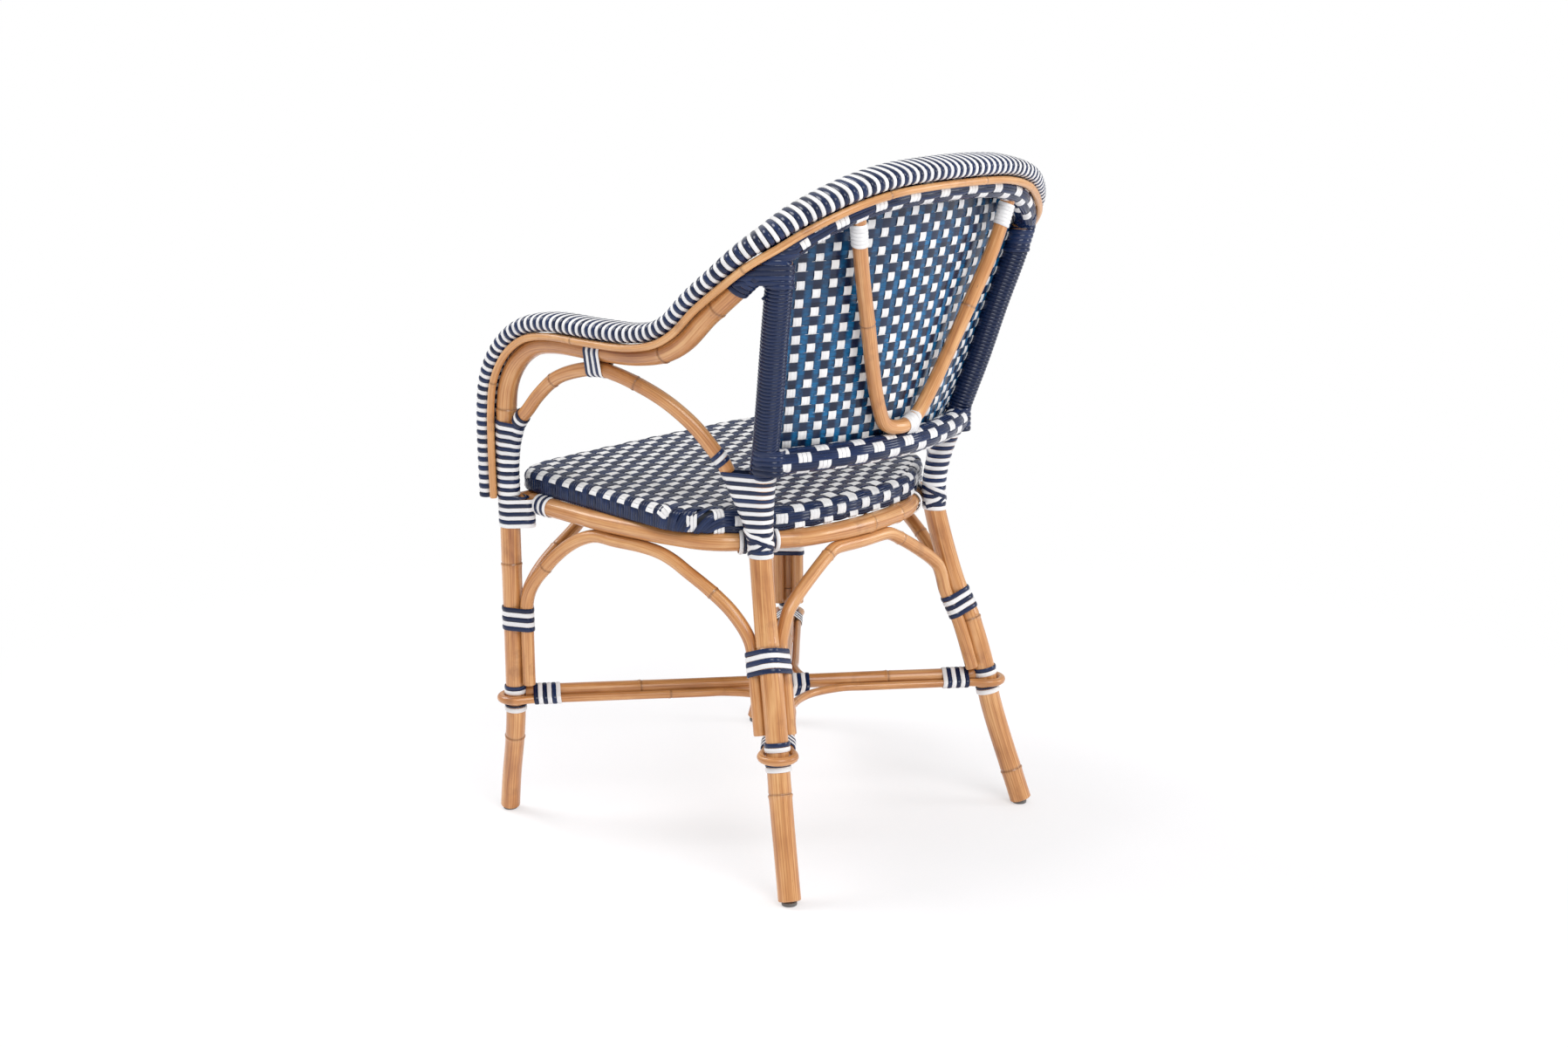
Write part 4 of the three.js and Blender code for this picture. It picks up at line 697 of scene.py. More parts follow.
rings = {
    "leg": {"pitch": 6.3, "count": 5, "width": 5.8, "slant": 0.5},
    "arm": {"start": 17.5, "pitch": 4.6, "count": 6, "width": 4.3, "slant": 1.2},
    "archFront": {"start": 27, "pitch": 5.4, "count": 3, "width": 5.0, "lift": 0.9, "slant": 1.5},
    "archBack": {"start": 15, "pitch": 5.4, "count": 3, "width": 5.0, "lift": 0.9, "slant": 1.0},
    "rail": {"start": 16, "pitch": 5.0, "count": 5, "width": 4.7, "first": whiteSkin},
    "postTop": {"start": 17, "pitch": 6.2, "count": 5, "width": 6.3, "lift": 2.0, "thickness": 2.2, "slant": 0.9},
    "postLast": {"start": 12, "pitch": 0, "count": 1, "width": 5.0, "lift": 2.4, "thickness": 2.2, "slant": 1.2},
    "postArm": {"start": -66, "pitch": 6.0, "count": 5, "width": 5.8, "lift": 1.3, "thickness": 2.0, "slant": 2.5},
    "postRail": {"start": 18, "pitch": 6.2, "count": 5, "width": 6.0, "lift": 2.2, "thickness": 2.0, "slant": 0.8},
    "stretcher": {"start": 15.25, "pitch": 5.9, "count": 6, "width": 5.7, "first": whiteSkin, "slant": 0.8},
    "middle": {"start": 18, "pitch": 5.6, "count": 6, "width": 5.3, "first": whiteSkin, "slant": 2.5},
    "v": {"start": 14.25, "pitch": 4.7, "count": 6, "width": 4.6, "lift": 0.9, "thickness": 1.6, "slant": 1.0},
    "vLow": {"start": 18, "pitch": 5.2, "count": 4, "width": 5.2, "lift": 0.9, "thickness": 1.5, "slant": 1.6},
}
rings["postArm"]["start"] += hoopStart
for name, row in rings.items():
    if name.startswith(("post", "v")):
        row.update(first=whiteSkin if name.startswith("v") else navySkin, skinStep=0)
fromSide = (1, 0, 0)
legTie = {"low": 240, "high": 330, "middle": 283.0, "before": 12.6}
armTie = {"x": 267.0, "from": -85.0, "to": -26.0, "z": 654.0}
frontJoint = {
    "low": 396, "high": 548, "start": 405, "pitch": 5.3, "count": 26, "width": 5.0, "slant": 0.7,
    "steepFrom": 15, "steepOver": 10, "steep": 3.4, "facing": -0.83, "railRadius": 11.0,
    "foot": [
        (267, -203, 560), (267, -208.5, 545), (267, -214, 531), (267, -220, 514), (267, -225, 480),
        (267, -226, 396),
    ],
    "railEnd": [(253.5, -214.5, 398), (253.5, -214.5, 416), (253.5, -214.5, 448)],
}
backJoint = {
    "axis": (171.0, 123.0, 392.0, 524.0), "start": 14, "pitch": 5.45, "count": 20, "width": 5.1, "slant": 0.5,
    "thick": 1.2, "lastThick": 1.8, "footRadius": 9.6,
    "foot": [
        (198.5, 95.5, 522), (197.6, 96.8, 512), (191.5, 102.5, 492), (182, 111, 462), (175, 118, 430),
        (174, 119, 392),
    ],
}
knot = {
    "reach": 1.9, "samples": 30, "middle": 34, "climb": 13, "aside": 2.6, "width": 4.8, "lift": 1.9,
    "loopSteps": 30, "loopsAside": 13, "loopWidth": 5.0, "loopLift": 2.0, "widening": 16, "loopThick": 2.2,
    "loopSlant": 2.5, "loops": ((-22.0, whiteSkin), (-17.0, navySkin), (17.0, navySkin), (22.0, whiteSkin)),
}
postWrap = {
    "from": 500, "to": 783, "low": 513, "high": 763, "shape": (4.7, 4.6, 1.2, 2.2),
    "corner": (231.0, 211.0, 740.0, 800.0), "lastRadius": 15.5,
    "fans": 14, "fanReach": 1.7, "fanTurn": 0.45, "fanClimb": 18, "fanStart": -16,
    "fanShape": (6.0, navySkin, 1.6, 1.5),
    "tail": [(232, 193, 757), (233, 194, 748), (236, 193, 741), (240, 191, 737)], "tailOut": (0.6, 0.75, 0.2),
    "tailWidth": 3.4, "tailThick": 1.0,
    "railCorner": (181.0, 139.0, 500.0, 560.0), "railEnd": [(180, 150, 500), (180, 150, 560)], "railRadius": 13.8,
}


def windArchEnd(piece, arch, name):
    addRings(piece, Bundle(arch[:26], [(arch, radii["arch"])]), **rings[name])


# Up the leg past the foot of the arm's arch, narrowing like a funnel
def windFrontJoint(side, leg, arch):
    piece = Piece(f"jointBindingFront_{side}")
    foot, railEnd = (onSide(smoothLine(frontJoint[k]), side) for k in ("foot", "railEnd"))
    axis = onSide(cutLine(leftLeg, frontJoint["low"], frontJoint["high"]), side)
    bundle = Bundle(axis, [leg, (foot, radii["arch"]), (railEnd, frontJoint["railRadius"])], fromSide)
    away = frontJoint["facing"] if side == "left" else math.pi - frontJoint["facing"]
    for k in range(frontJoint["count"]):
        place = bundle.runAt(frontJoint["start"] + frontJoint["pitch"] * (k + 0.5))
        steeper = max(0, (k - frontJoint["steepFrom"]) / frontJoint["steepOver"])
        slant = frontJoint["slant"] + frontJoint["steep"] * steeper
        addRing(piece, bundle, place, frontJoint["width"], (k + 1) % 2, slant=slant, facing=away)
    windArchEnd(piece, arch, "archFront")
    piece.finish(stripes, "white_strip", (f"joint_binding_front_{side}",))


# Narrowing down to the rail, tied off crosswise round it, with loops round the rail
def windBackJoint(side, post, arch, rail):
    piece = Piece(f"jointBindingBack_{side}")
    axis = onSide(uprightLine(*backJoint["axis"]), side)
    foot = onSide(smoothLine(backJoint["foot"]), side)
    bundle = Bundle(axis, [post, (foot, backJoint["footRadius"])], fromSide)
    last = backJoint["count"] - 1
    for k in range(backJoint["count"]):
        thick = backJoint["lastThick"] if k == last else backJoint["thick"]
        place = backJoint["start"] + backJoint["pitch"] * (k + 0.5)
        addRing(piece, bundle, place, backJoint["width"], (k + 1) % 2, thickness=thick, slant=backJoint["slant"])
    windArchEnd(piece, arch[::-1], "archBack")
    near = int(np.argmin(np.linalg.norm(rail[:, :2] - axis[0, :2], axis=1)))
    outside = math.atan2(*(axis[0] - rail[near])[[1, 0]])
    fan = np.linspace(-knot["reach"], knot["reach"], knot["samples"])
    for way in (-1, 1):
        for skin, aside in ((whiteSkin, knot["aside"]), (navySkin, -knot["aside"])):
            places = knot["middle"] + aside - way * knot["climb"] * fan / knot["reach"]
            addWound(piece, bundle, places, outside + fan, knot["width"], skin, knot["lift"] + 0.5 * way)
    around = Bundle(rail[near - knot["loopSteps"]:near + knot["loopSteps"]], [(rail, radii["rail"])])
    centre = float(around.run[-1]) / 2 + knot["loopsAside"]
    for aside, skin in knot["loops"]:
        lift = knot["loopLift"] + abs(aside) / knot["widening"]
        slant = math.copysign(knot["loopSlant"], aside)
        place = centre + aside
        addRing(piece, around, place, knot["loopWidth"], skin, lift, knot["loopThick"], slant, math.pi / 2)
    piece.finish(stripes, "white_strip", (f"joint_binding_back_{side}",))


# Navy winding of a back post, broad turns where it meets the hoop, diagonal turns round the arm there,
# strips fanning onto the hoop, a loose end, and the turns that hold the lower rail
def windPost(side, post):
    piece = Piece(f"postWrap_{side}")
    axis = onSide(cutLine(backPole, postWrap["from"], postWrap["to"]), side)
    bundle = Bundle(axis, [(axis, radii["back"])])
    addHelix(piece, bundle, bundle.runAt(postWrap["low"]), bundle.runAt(postWrap["high"]), *postWrap["shape"])
    axis = onSide(uprightLine(*postWrap["corner"]), side)
    addRings(piece, Bundle(axis, [post, (ridge, radii["arm"])], fromSide), **rings["postTop"])
    addRings(piece, Bundle(axis, [(post[0], postWrap["lastRadius"])], fromSide), **rings["postLast"])
    armPole = onSide(ridge[:halfCount], side)
    arm = Bundle(armPole, [(armPole, radii["arm"])])
    addRings(piece, arm, **rings["postArm"])
    fan = np.linspace(0, postWrap["fanReach"], 22)
    for k in range(postWrap["fans"]):
        places = hoopStart + postWrap["fanStart"] + postWrap["fanClimb"] * fan
        addWound(piece, arm, places, postWrap["fanTurn"] * k + fan, *postWrap["fanShape"])
    tail = onSide(smoothLine(postWrap["tail"]), side)
    tailOut = np.tile(onSide([postWrap["tailOut"]], side), (len(tail), 1))
    addStrip(piece, tail, tailOut, postWrap["tailWidth"], postWrap["tailThick"], shade(), navySkin)
    axis = onSide(uprightLine(*postWrap["railCorner"]), side)
    railEnd = (onSide(smoothLine(postWrap["railEnd"]), side), postWrap["railRadius"])
    addRings(piece, Bundle(axis, [post, railEnd], fromSide), **rings["postRail"])
    piece.finish(stripes, "navy_strip", (f"post_wrap_{side}",))


for side in ("left", "right"):
    leg, post, arch, rail, brace = (onSide(line, side) for line in (leftLeg, backPole, armArch, seatRail, sideBrace))
    for end, line, member, across in (
        ("front", leftLeg, (leg, radii["arm"]), frontBrace), ("back", backPole, (post, radii["back"]), backBrace),
    ):
        axis = onSide(cutLine(line, legTie["low"], legTie["high"]), side)
        bundle = Bundle(axis, [member, (brace, radii["brace"]), (across, radii["brace"])], fromSide)
        start = bundle.runAt(legTie["middle"]) - legTie["before"]
        wind(f"legBinding_{end}_{side}", f"leg_binding_{end}_{side}", bundle, start=start, **rings["leg"])
    places = np.arange(armTie["from"], armTie["to"], 2.0)
    axis = onSide([(armTie["x"], y, armTie["z"]) for y in places], side)
    bundle = Bundle(axis, [(leg, radii["arm"]), (arch, radii["arch"])])
    wind(f"armTie_{side}", f"arm_tie_{side}", bundle, **rings["arm"])
    windFrontJoint(side, (leg, radii["arm"]), arch)
    windBackJoint(side, (post, radii["back"]), arch, rail)
    wind(f"railTie_{side}", f"rail_tie_{side}", Bundle(rail[:60], [(rail, radii["rail"])]), **rings["rail"])
    windPost(side, (post, radii["back"]))
print("bindings made")


# Stretcher bindings, and a collar above and below the rod's loop on each leg
collar = {
    "low": 150, "high": 205, "slant": 0.4,
    "rows": ((188.3, 5.2, navySkin), (182.6, 5.6, whiteSkin), (163.8, 2.6, navySkin), (158.6, 6.2, whiteSkin)),
}


def stretcherBundle(leg, reach, main, aside, rodRadius):
    axis = np.array([crossing + leg["way"] * d for d in reach])
    rods = [np.array([besideStretcher(leg, d, way * aside) for d in reach]) for way in (-1, 1)]
    return Bundle(axis, [(axis if main is None else main, radii["bar"])] + [(rod, rodRadius) for rod in rods])


for name, leg in legs.items():
    reach = np.arange(leg["tie"] - 30, leg["tie"] + 30, 2.0)
    bundle = stretcherBundle(leg, reach, None, stretchers["rodSide"], radii["rod"])
    wind(f"stretcherBinding_{name}", f"stretcher_binding_{name}", bundle, **rings["stretcher"])
    side, end = name.split("_")
    piece = Piece(f"legCollar_{name}")
    line = onSide(leftLeg if end == "front" else backPole, side)
    bundle = Bundle(cutLine(line, collar["low"], collar["high"]), [(line, leg["radius"])])
    for height, width, skin in collar["rows"]:
        addRing(piece, bundle, bundle.runAt(height), width, skin, slant=collar["slant"])
    piece.finish(stripes, "navy_strip", (f"leg_collar_{end}_{side}",))
ties = {
    "middle": (-16.0, 44.0), "middleAside": 13.0, "middleRods": 8.0, "vEnd": 31.0, "vReach": 26,
    "low": (-46.0, 10.0), "lowY": 200.6, "lowZ": 555.5, "railTopRadius": 5.0,
    "railTop": [(-60, 196.5, 548), (-20, 197.5, 546.5), (20, 198, 546)],
}
reach = np.arange(*ties["middle"], 2.0)
bundle = stretcherBundle(legs["right_back"], reach, longPole, ties["middleAside"], ties["middleRods"])
wind("stretcherBindingMiddle", "stretcher_binding_middle", bundle, **rings["middle"])

# White ties of the V in the back
for name, place in (("left", ties["vEnd"]), ("right", lengthsOf(backV)[-1] - ties["vEnd"])):
    places = np.arange(place - ties["vReach"], place + ties["vReach"], 2.0)
    bundle = Bundle(pointsAt(backV, places), [(backV, radii["v"])])
    wind(f"vTie_{name}", f"v_tie_{name}", bundle, **rings["v"])
axis = np.array([(x, ties["lowY"], ties["lowZ"]) for x in np.arange(*ties["low"], 2.0)])
railTop = (smoothLine(ties["railTop"]), ties["railTopRadius"])
wind("vTie_bottom", "v_tie_bottom", Bundle(axis, [(backV, radii["v"]), railTop]), **rings["vLow"])
print("ties made")


# Striped band on the arms and over the back: a strip crosswise for every stripe, round a lining
cap = {
    "up": 26.8, "halfWidth": 22.8, "halfThick": 11.0, "pitch": 5.85, "width": 5.5, "low": 442.0, "corner": 2.7,
    "sides": 22, "liningInset": 1.2, "liningSteps": 330, "thick": 1.9, "navyExtra": 0.45, "whiteExtra": -0.35,
    "flatter": 0.55,
}
capAngles = np.linspace(0, fullTurn, cap["sides"], endpoint=False)
capCos, capSin = np.cos(capAngles), np.sin(capAngles)
roundOff = (np.abs(capCos) ** cap["corner"] + np.abs(capSin) ** cap["corner"]) ** (-1 / cap["corner"])
capKeep = ridge[:, 2] > cap["low"]
capMiddle = (ridge + ridgeUp * cap["up"])[capKeep]
capRun = lengthsOf(capMiddle)


def capRing(place, shrink=0.0):
    centre = pointsAt(capMiddle, [place])[0]
    outWay, upWay = (
        np.array([np.interp(place, capRun, ways[capKeep][:, k]) for k in range(3)]) for ways in (ridgeOut, ridgeUp)
    )
    wide = (cap["halfWidth"] - shrink) * roundOff * capCos
    tall = (cap["halfThick"] - shrink) * roundOff * capSin
    facing = unit(outWay * (capCos * roundOff)[:, None] * cap["flatter"] + upWay * (capSin * roundOff)[:, None])
    return centre + outWay * wide[:, None] + upWay * tall[:, None], facing


piece = Piece("stripedBand")
innerPlaces = np.linspace(1.0, capRun[-1] - 1.0, cap["liningSteps"])
innerRings = np.array([capRing(place, cap["liningInset"])[0] for place in innerPlaces])
piece.sweep(innerRings[:, ::-1], 0.3, liningSkin)
for k in range(int(capRun[-1] / cap["pitch"])):
    ring, facing = capRing((k + 0.5) * cap["pitch"])
    wide = cap["width"] + (cap["navyExtra"] if k % 2 == 0 else cap["whiteExtra"])
    addStrip(piece, ring, facing, wide, cap["thick"], shade(), k % 2, True)
piece.finish([navy, white, lining], "navy_strip", ("arm_cap",))
print("striped band made")


# Woven border of a round pole: lengthwise strips in bands, and white wraps crosswise
border = {
    "bands": 8, "perBand": 3, "pitch": 26.5, "wave": 0.75, "thick": 0.9, "wrapWidth": 5.4, "wrapGap": 0.25,
    "lift": 1.4, "rise": 1.6, "closeness": 0.97, "wrapSamples": 48,
}


def weaveBorder(name, line, radius, node, margin, phase, clear):
    piece = Piece(name)
    start, end = margin, lengthsOf(line)[-1] - margin
    bundle = Bundle(line, [(line, radius)])
    bands, pitch, samples = border["bands"], border["pitch"], border["wrapSamples"]
    strands = bands * border["perBand"]
    places = np.arange(start, end, pitch / 8)
    width = fullTurn * (radius + border["rise"]) / strands * border["closeness"]
    for strand in range(strands):
        angle = fullTurn * (strand + 0.5) / strands
        rise = border["wave"] * np.cos(math.pi * (places / pitch + phase + strand // border["perBand"]))
        spots, outward = bundle.at(places, np.full(len(places), angle), border["lift"])
        addStrip(piece, spots + outward * rise[:, None], outward, width, border["thick"], shade(), navySkin)
    angles = np.linspace(0, fullTurn, samples, endpoint=False)
    for k in range(math.ceil(start / pitch + phase), math.floor(end / pitch + phase) + 1):
        for j in (-1, 0, 1):
            place = (k - phase) * pitch + j * (border["wrapWidth"] + border["wrapGap"])
            if not start + clear < place < end - clear:
                continue
            rise = -border["wave"] * np.cos(math.pi * (k + angles / fullTurn * bands - 0.5))
            spots, outward = bundle.at(np.full(samples, place), angles, border["lift"])
            spots = spots + outward * rise[:, None]
            addStrip(piece, spots, outward, border["wrapWidth"], border["thick"], shade(), whiteSkin, True)
    piece.finish(stripes, "navy_strip", (node,))


weaveBorder("railBorder", lowerRail, radii["lowerRail"], "rail_weave", 6.0, 0.5, 7)
hoopLine = pointsAt(ridge, np.arange(hoopStart + 4, ridgeLength - hoopStart - 4, 3.0))
weaveBorder("hoopBorder", hoopLine, radii["arm"], "hoop_weave", 2.0, 0.25, 14)
print("woven borders made")


# Seat: white strands from front to back, navy strands across, turned down over a rounded rim
seat = {
    "rear": 136.0, "bottom": 430.5, "height": 27.3, "pitch": math.radians(2.6), "rim": 11.0, "inset": 1.2,
    "fold": 3.0, "under": 9.0, "front": -262, "columns": 22, "column": 22.3, "row": 12.6, "wave": 1.2, "thick": 1.2,
    "whiteStrip": 5.25, "navyStrip": 4.2, "cornerX": 200.0, "edgeRow": 6.5, "edgePitch": 12.6, "backFrom": 20,
}
seatHalf = np.array([
    (0, -262), (115, -260.5), (190, -257), (222, -249), (235, -236), (239, -215), (240, -136), (239.5, -67),
    (238, -1), (236.5, 18), (231.5, 38), (221, 54), (206, 70), (186, 84), (172, 92.5), (150, 106), (133, 115.5),
    (117, 122.5), (84, 129.8), (49, 133.8), (0, 136),
], float)
seatRing = smoothLine(np.vstack([seatHalf, (seatHalf * [-1, 1])[-2:0:-1], seatHalf[:1]]), 4.0)[:-1]


def insetRing(ring, amount):
    ahead = np.roll(ring, -1, axis=0) - np.roll(ring, 1, axis=0)
    return ring + unit(np.column_stack([-ahead[:, 1], ahead[:, 0]])) * amount


def hullOf(ring):
    points = sorted(map(tuple, ring))

    def bendsIn(a, b, c):
        return (b[0] - a[0]) * (c[1] - a[1]) <= (b[1] - a[1]) * (c[0] - a[0])

    def half(rows):
        out = []
        for p in rows:
            while len(out) > 1 and bendsIn(out[-2], out[-1], p):
                out.pop()
            out.append(p)
        return out[:-1]
    return np.array(half(points) + half(points[::-1]))


rimRing = hullOf(insetRing(seatRing, seat["rim"] + seat["inset"]))
rimNext = np.roll(rimRing, -1, axis=0)


# From a flat plan to the seat's surface: level inside the rim, then over it, down and under
def onSeat(plan, rise):
    edge = rimNext - rimRing
    gap = plan[:, None, :] - rimRing[None]
    share = np.clip(np.sum(gap * edge, axis=2) / np.sum(edge * edge, axis=1), 0, 1)
    nearest = rimRing[None] + share[:, :, None] * edge[None]
    far = np.linalg.norm(plan[:, None] - nearest, axis=2)
    rows, pick = np.arange(len(plan)), np.argmin(far, axis=1)
    nearest, far = nearest[rows, pick], far[rows, pick]
    outside = np.any(edge[None, :, 0] * gap[:, :, 1] - edge[None, :, 1] * gap[:, :, 0] < 0, axis=1)
    beyond = np.where(outside, far, 0.0)
    facing = np.where(beyond[:, None] > 1e-6, (plan - nearest) / np.maximum(far, 1e-6)[:, None], 0.0)
    rim, tall, fold = seat["rim"], seat["height"], seat["fold"]
    arc = rim * math.pi / 2
    drop = tall - rim - fold
    angle = np.clip(beyond / rim, 0, math.pi / 2)
    tuck = np.clip((beyond - arc - drop) / fold, 0, math.pi / 2)
    under = np.maximum(beyond - arc - drop - fold * math.pi / 2, 0)
    out = rim * np.sin(angle) - fold * (1 - np.cos(tuck)) - under
    high = tall - rim * (1 - np.cos(angle)) - np.clip(beyond - arc, 0, drop) - fold * np.sin(tuck)
    turned = angle + tuck
    flat = np.where(beyond[:, None] > 0, nearest, plan)
    normal = np.column_stack([facing * np.sin(turned)[:, None], np.cos(turned)])
    spot = np.column_stack([flat + facing * out[:, None], high]) + normal * np.asarray(rise)[:, None]
    cos, sin = math.cos(seat["pitch"]), math.sin(seat["pitch"])

    def tip(rows, origin):
        y, z = rows[:, 1] - origin, rows[:, 2]
        return np.column_stack([rows[:, 0], origin + y * cos + z * sin, -y * sin + z * cos])

    return tip(spot, seat["rear"]) + (0, 0, seat["bottom"]), tip(normal, 0.0), beyond


# The rim from the left side to the middle of the rear, with its outward normals
leftRim = rimRing[(rimRing[:, 0] > -1) & (rimRing[:, 1] > -70)]
leftRim = leftRim[np.argsort(np.arctan2(leftRim[:, 1] + 60, leftRim[:, 0]))]
rimWalk = pointsAt(np.vstack([[(leftRim[0, 0], -70)], leftRim, [(0, leftRim[-1, 1])]]), np.arange(0, 900, 2.0))
rimWalk = rimWalk[:int(np.argmax(rimWalk[:, 0] < 0.01)) or len(rimWalk)]
rimRun = lengthsOf(rimWalk)
rimWays = tangentsOf(rimWalk)
rimNormals = np.column_stack([rimWays[:, 1], -rimWays[:, 0]])
rimMiddle = rimRun[-1]


def rimSpot(run):
    return pointsAt(rimWalk, run), unit(np.column_stack([np.interp(run, rimRun, rimNormals[:, k]) for k in range(2)]))


def runAtX(x):
    tail = slice(int(np.argmax(rimWalk[:, 1] > seat["backFrom"])), None)
    return float(np.interp(-x, -rimWalk[tail, 0], rimRun[tail]))


def seatReach(beyond):
    return beyond < seat["rim"] * math.pi / 2 + seat["height"] - seat["rim"] - seat["fold"] + seat["under"]


def keepRun(kept):
    middle = len(kept) // 2
    low = middle
    while low > 0 and kept[low - 1]:
        low -= 1
    high = middle
    while high < len(kept) - 1 and kept[high + 1]:
        high += 1
    return slice(low, high + 1)


# Straight cross strands; those that meet the rear rim end there, the others turn down over the side
crossStrand = {"half": 292, "fadeOver": 9, "sink": 1.2, "sideFade": (26, 8), "rearGap": 4}
weft = Piece("seatCrossStrands")
across = np.arange(-crossStrand["half"], crossStrand["half"] + 0.1, seat["column"] / 6)
frontEdge = seat["front"] + seat["rim"] + seat["inset"]
rearTop = float(rimWalk[-1, 1])
rowZero = frontEdge - 2 * seat["row"]
for row in range(int((rearTop - crossStrand["rearGap"] - rowZero) / seat["row"])):
    for j in (-1, 0, 1):
        along = rowZero + (row + 0.5) * seat["row"] + j * (seat["row"] / 3)
        plan = np.column_stack([across, np.full(len(across), along)])
        rise = seat["wave"] * np.cos(math.pi * (across / seat["column"] - 0.5 + row))
        _, _, beyond = onSeat(plan, rise * 0)
        meets = rimWalk[np.argmin(np.abs(rimWalk[:, 1] - along)), 0] if along > seat["backFrom"] else 240
        if meets < seat["cornerX"]:
            inner = meets - np.abs(across)
            run = keepRun(inner > 1.0)
            share = inner / crossStrand["fadeOver"]
            rise = rise * np.clip(share, 0, 1) - crossStrand["sink"] * np.clip(1 - share, 0, 1)
        else:
            run = keepRun(seatReach(beyond))
            fadeEnd, fadeOver = crossStrand["sideFade"]
            rise = rise * np.clip((fadeEnd - beyond) / fadeOver, 0, 1)
        spots, normals, _ = onSeat(plan, rise)
        if run.stop - run.start > 4:
            addStrip(weft, spots[run], normals[run], seat["navyStrip"], seat["thick"], shade(), navySkin)

# Three rows that follow the rear outline over the rim, from one rear corner to the other
edgeStrand = {"rows": 3, "inCorner": 4, "before": 26, "step": 3.4, "bendBefore": 16, "bend": 0.024}
cornerRun = runAtX(seat["cornerX"] - edgeStrand["inCorner"])
for row in range(edgeStrand["rows"]):
    for j in (-1, 0, 1):
        runs = np.arange(cornerRun - edgeStrand["before"], rimMiddle + 0.1, edgeStrand["step"])
        beyond = seat["edgeRow"] + row * seat["edgePitch"] + j * seat["edgePitch"] / 3
        beyond = beyond + edgeStrand["bend"] * np.maximum(cornerRun + edgeStrand["bendBefore"] - runs, 0) ** 2
        spotsOn, facing = rimSpot(runs)
        kept = seatReach(beyond)
        halfPlan = (spotsOn + facing * beyond[:, None])[kept]
        plan = np.vstack([halfPlan, (halfPlan * [-1, 1])[-2::-1]])
        column = np.concatenate([spotsOn[kept][:, 0], -spotsOn[kept][-2::-1, 0]]) / seat["column"] - 0.5
        rise = seat["wave"] * np.cos(math.pi * (column + row + 1))
        spots, normals, _ = onSeat(plan, rise)
        addStrip(weft, spots, normals, seat["navyStrip"], seat["thick"], shade(), navySkin)
weft.finish(stripes, "navy_strip", ("seat_weave",))

# Long strands: straight over the top, then down over the rim squarely to the outline
longStrand = {
    "overFront": 40, "down": 46, "overlap": 0.05, "cornerReach": 16, "beforeEdge": 7,
    "crowdFrom": 180, "crowded": 0.8, "close": 0.92, "easeFrom": 150, "easeRounds": 8, "narrowFrom": (-14, -4),
    "bendAt": 8, "bend": 9, "along": 0.85, "square": 0.72, "lean": 1.5, "sideEnd": 22, "sideSink": 13,
}
frontTop = frontEdge - longStrand["overFront"]
down = np.arange(0, longStrand["down"], seat["row"] / 4)


def straightTop(wide, end):
    top = np.arange(frontTop, end, seat["row"] / 4)
    return top, np.column_stack([np.full(len(top), wide), top])


def rearStrand(middle, shift):
    closer = longStrand["crowded"] if middle > longStrand["crowdFrom"] else longStrand["close"]
    spotOn, facing = rimSpot(np.array([runAtX(middle) - shift * closer]))
    edge = spotOn[0, 1]
    top, straight = straightTop(middle + shift, edge - longStrand["beforeEdge"])
    plan = np.vstack([straight, spotOn + facing * down[:, None]])
    past = np.concatenate([top - edge, down])
    for _ in range(longStrand["easeRounds"] if middle > longStrand["easeFrom"] else 0):
        plan[1:-1] = (plan[:-2] + 2 * plan[1:-1] + plan[2:]) / 4
    least = closer - 0.02 if closer < 0.9 else 1.0
    return plan, past, seat["whiteStrip"] * np.interp(past, longStrand["narrowFrom"], (1.0, least))


def sideStrand(middle, shift):
    bendAt, bend, along = longStrand["bendAt"], longStrand["bend"], longStrand["along"]
    top, straight = straightTop(middle + shift, bendAt)
    lean = longStrand["lean"] * np.sqrt(down) / bend
    sideways = 1 / np.sqrt(longStrand["square"] + lean ** 2)
    runs = np.interp(bendAt, rimWalk[:60, 1], rimRun[:60]) + down * along - shift * lean * sideways
    spotOn, facing = rimSpot(runs)
    beside = middle - rimWalk[0, 0] + down ** 1.5 / bend + shift * along * sideways
    plan = np.vstack([straight, spotOn + facing * beside[:, None]])
    return plan, np.concatenate([top - bendAt, down]), np.full(len(plan), seat["whiteStrip"])


warp = Piece("seatLongStrands")
for column in range(-seat["columns"] // 2, seat["columns"] // 2):
    for j in (-1, 0, 1):
        middle = abs((column + 0.5) * seat["column"])
        turns = middle < seat["cornerX"] + longStrand["cornerReach"]
        shift = j * (seat["whiteStrip"] - longStrand["overlap"])
        plan, past, width = (rearStrand if turns else sideStrand)(middle, shift)
        parity = abs(column)
        inner = -np.cos(math.pi * (parity + (plan[:, 1] - rowZero) / seat["row"] - 0.5))
        outer = -np.cos(math.pi * (parity + (past - seat["edgeRow"]) / seat["edgePitch"] + 1))
        if not turns:
            sunk = past - longStrand["sideSink"]
            outer = np.where(sunk < 0, 0.8, np.clip(1 - sunk / 3, -1.3, 0.8))
        blend = np.clip((past + 5) / 6, 0, 1)
        rise = seat["wave"] * (inner * (1 - blend) + outer * blend)
        spots, normals, beyond = onSeat(plan * [1 if column >= 0 else -1, 1], rise)
        run = keepRun(seatReach(beyond) & (turns | (past < longStrand["sideEnd"])))
        addStrip(warp, spots[run], normals[run], width[run], seat["thick"], shade(), whiteSkin)
warp.finish(stripes, "white_strip")
print("seat woven")

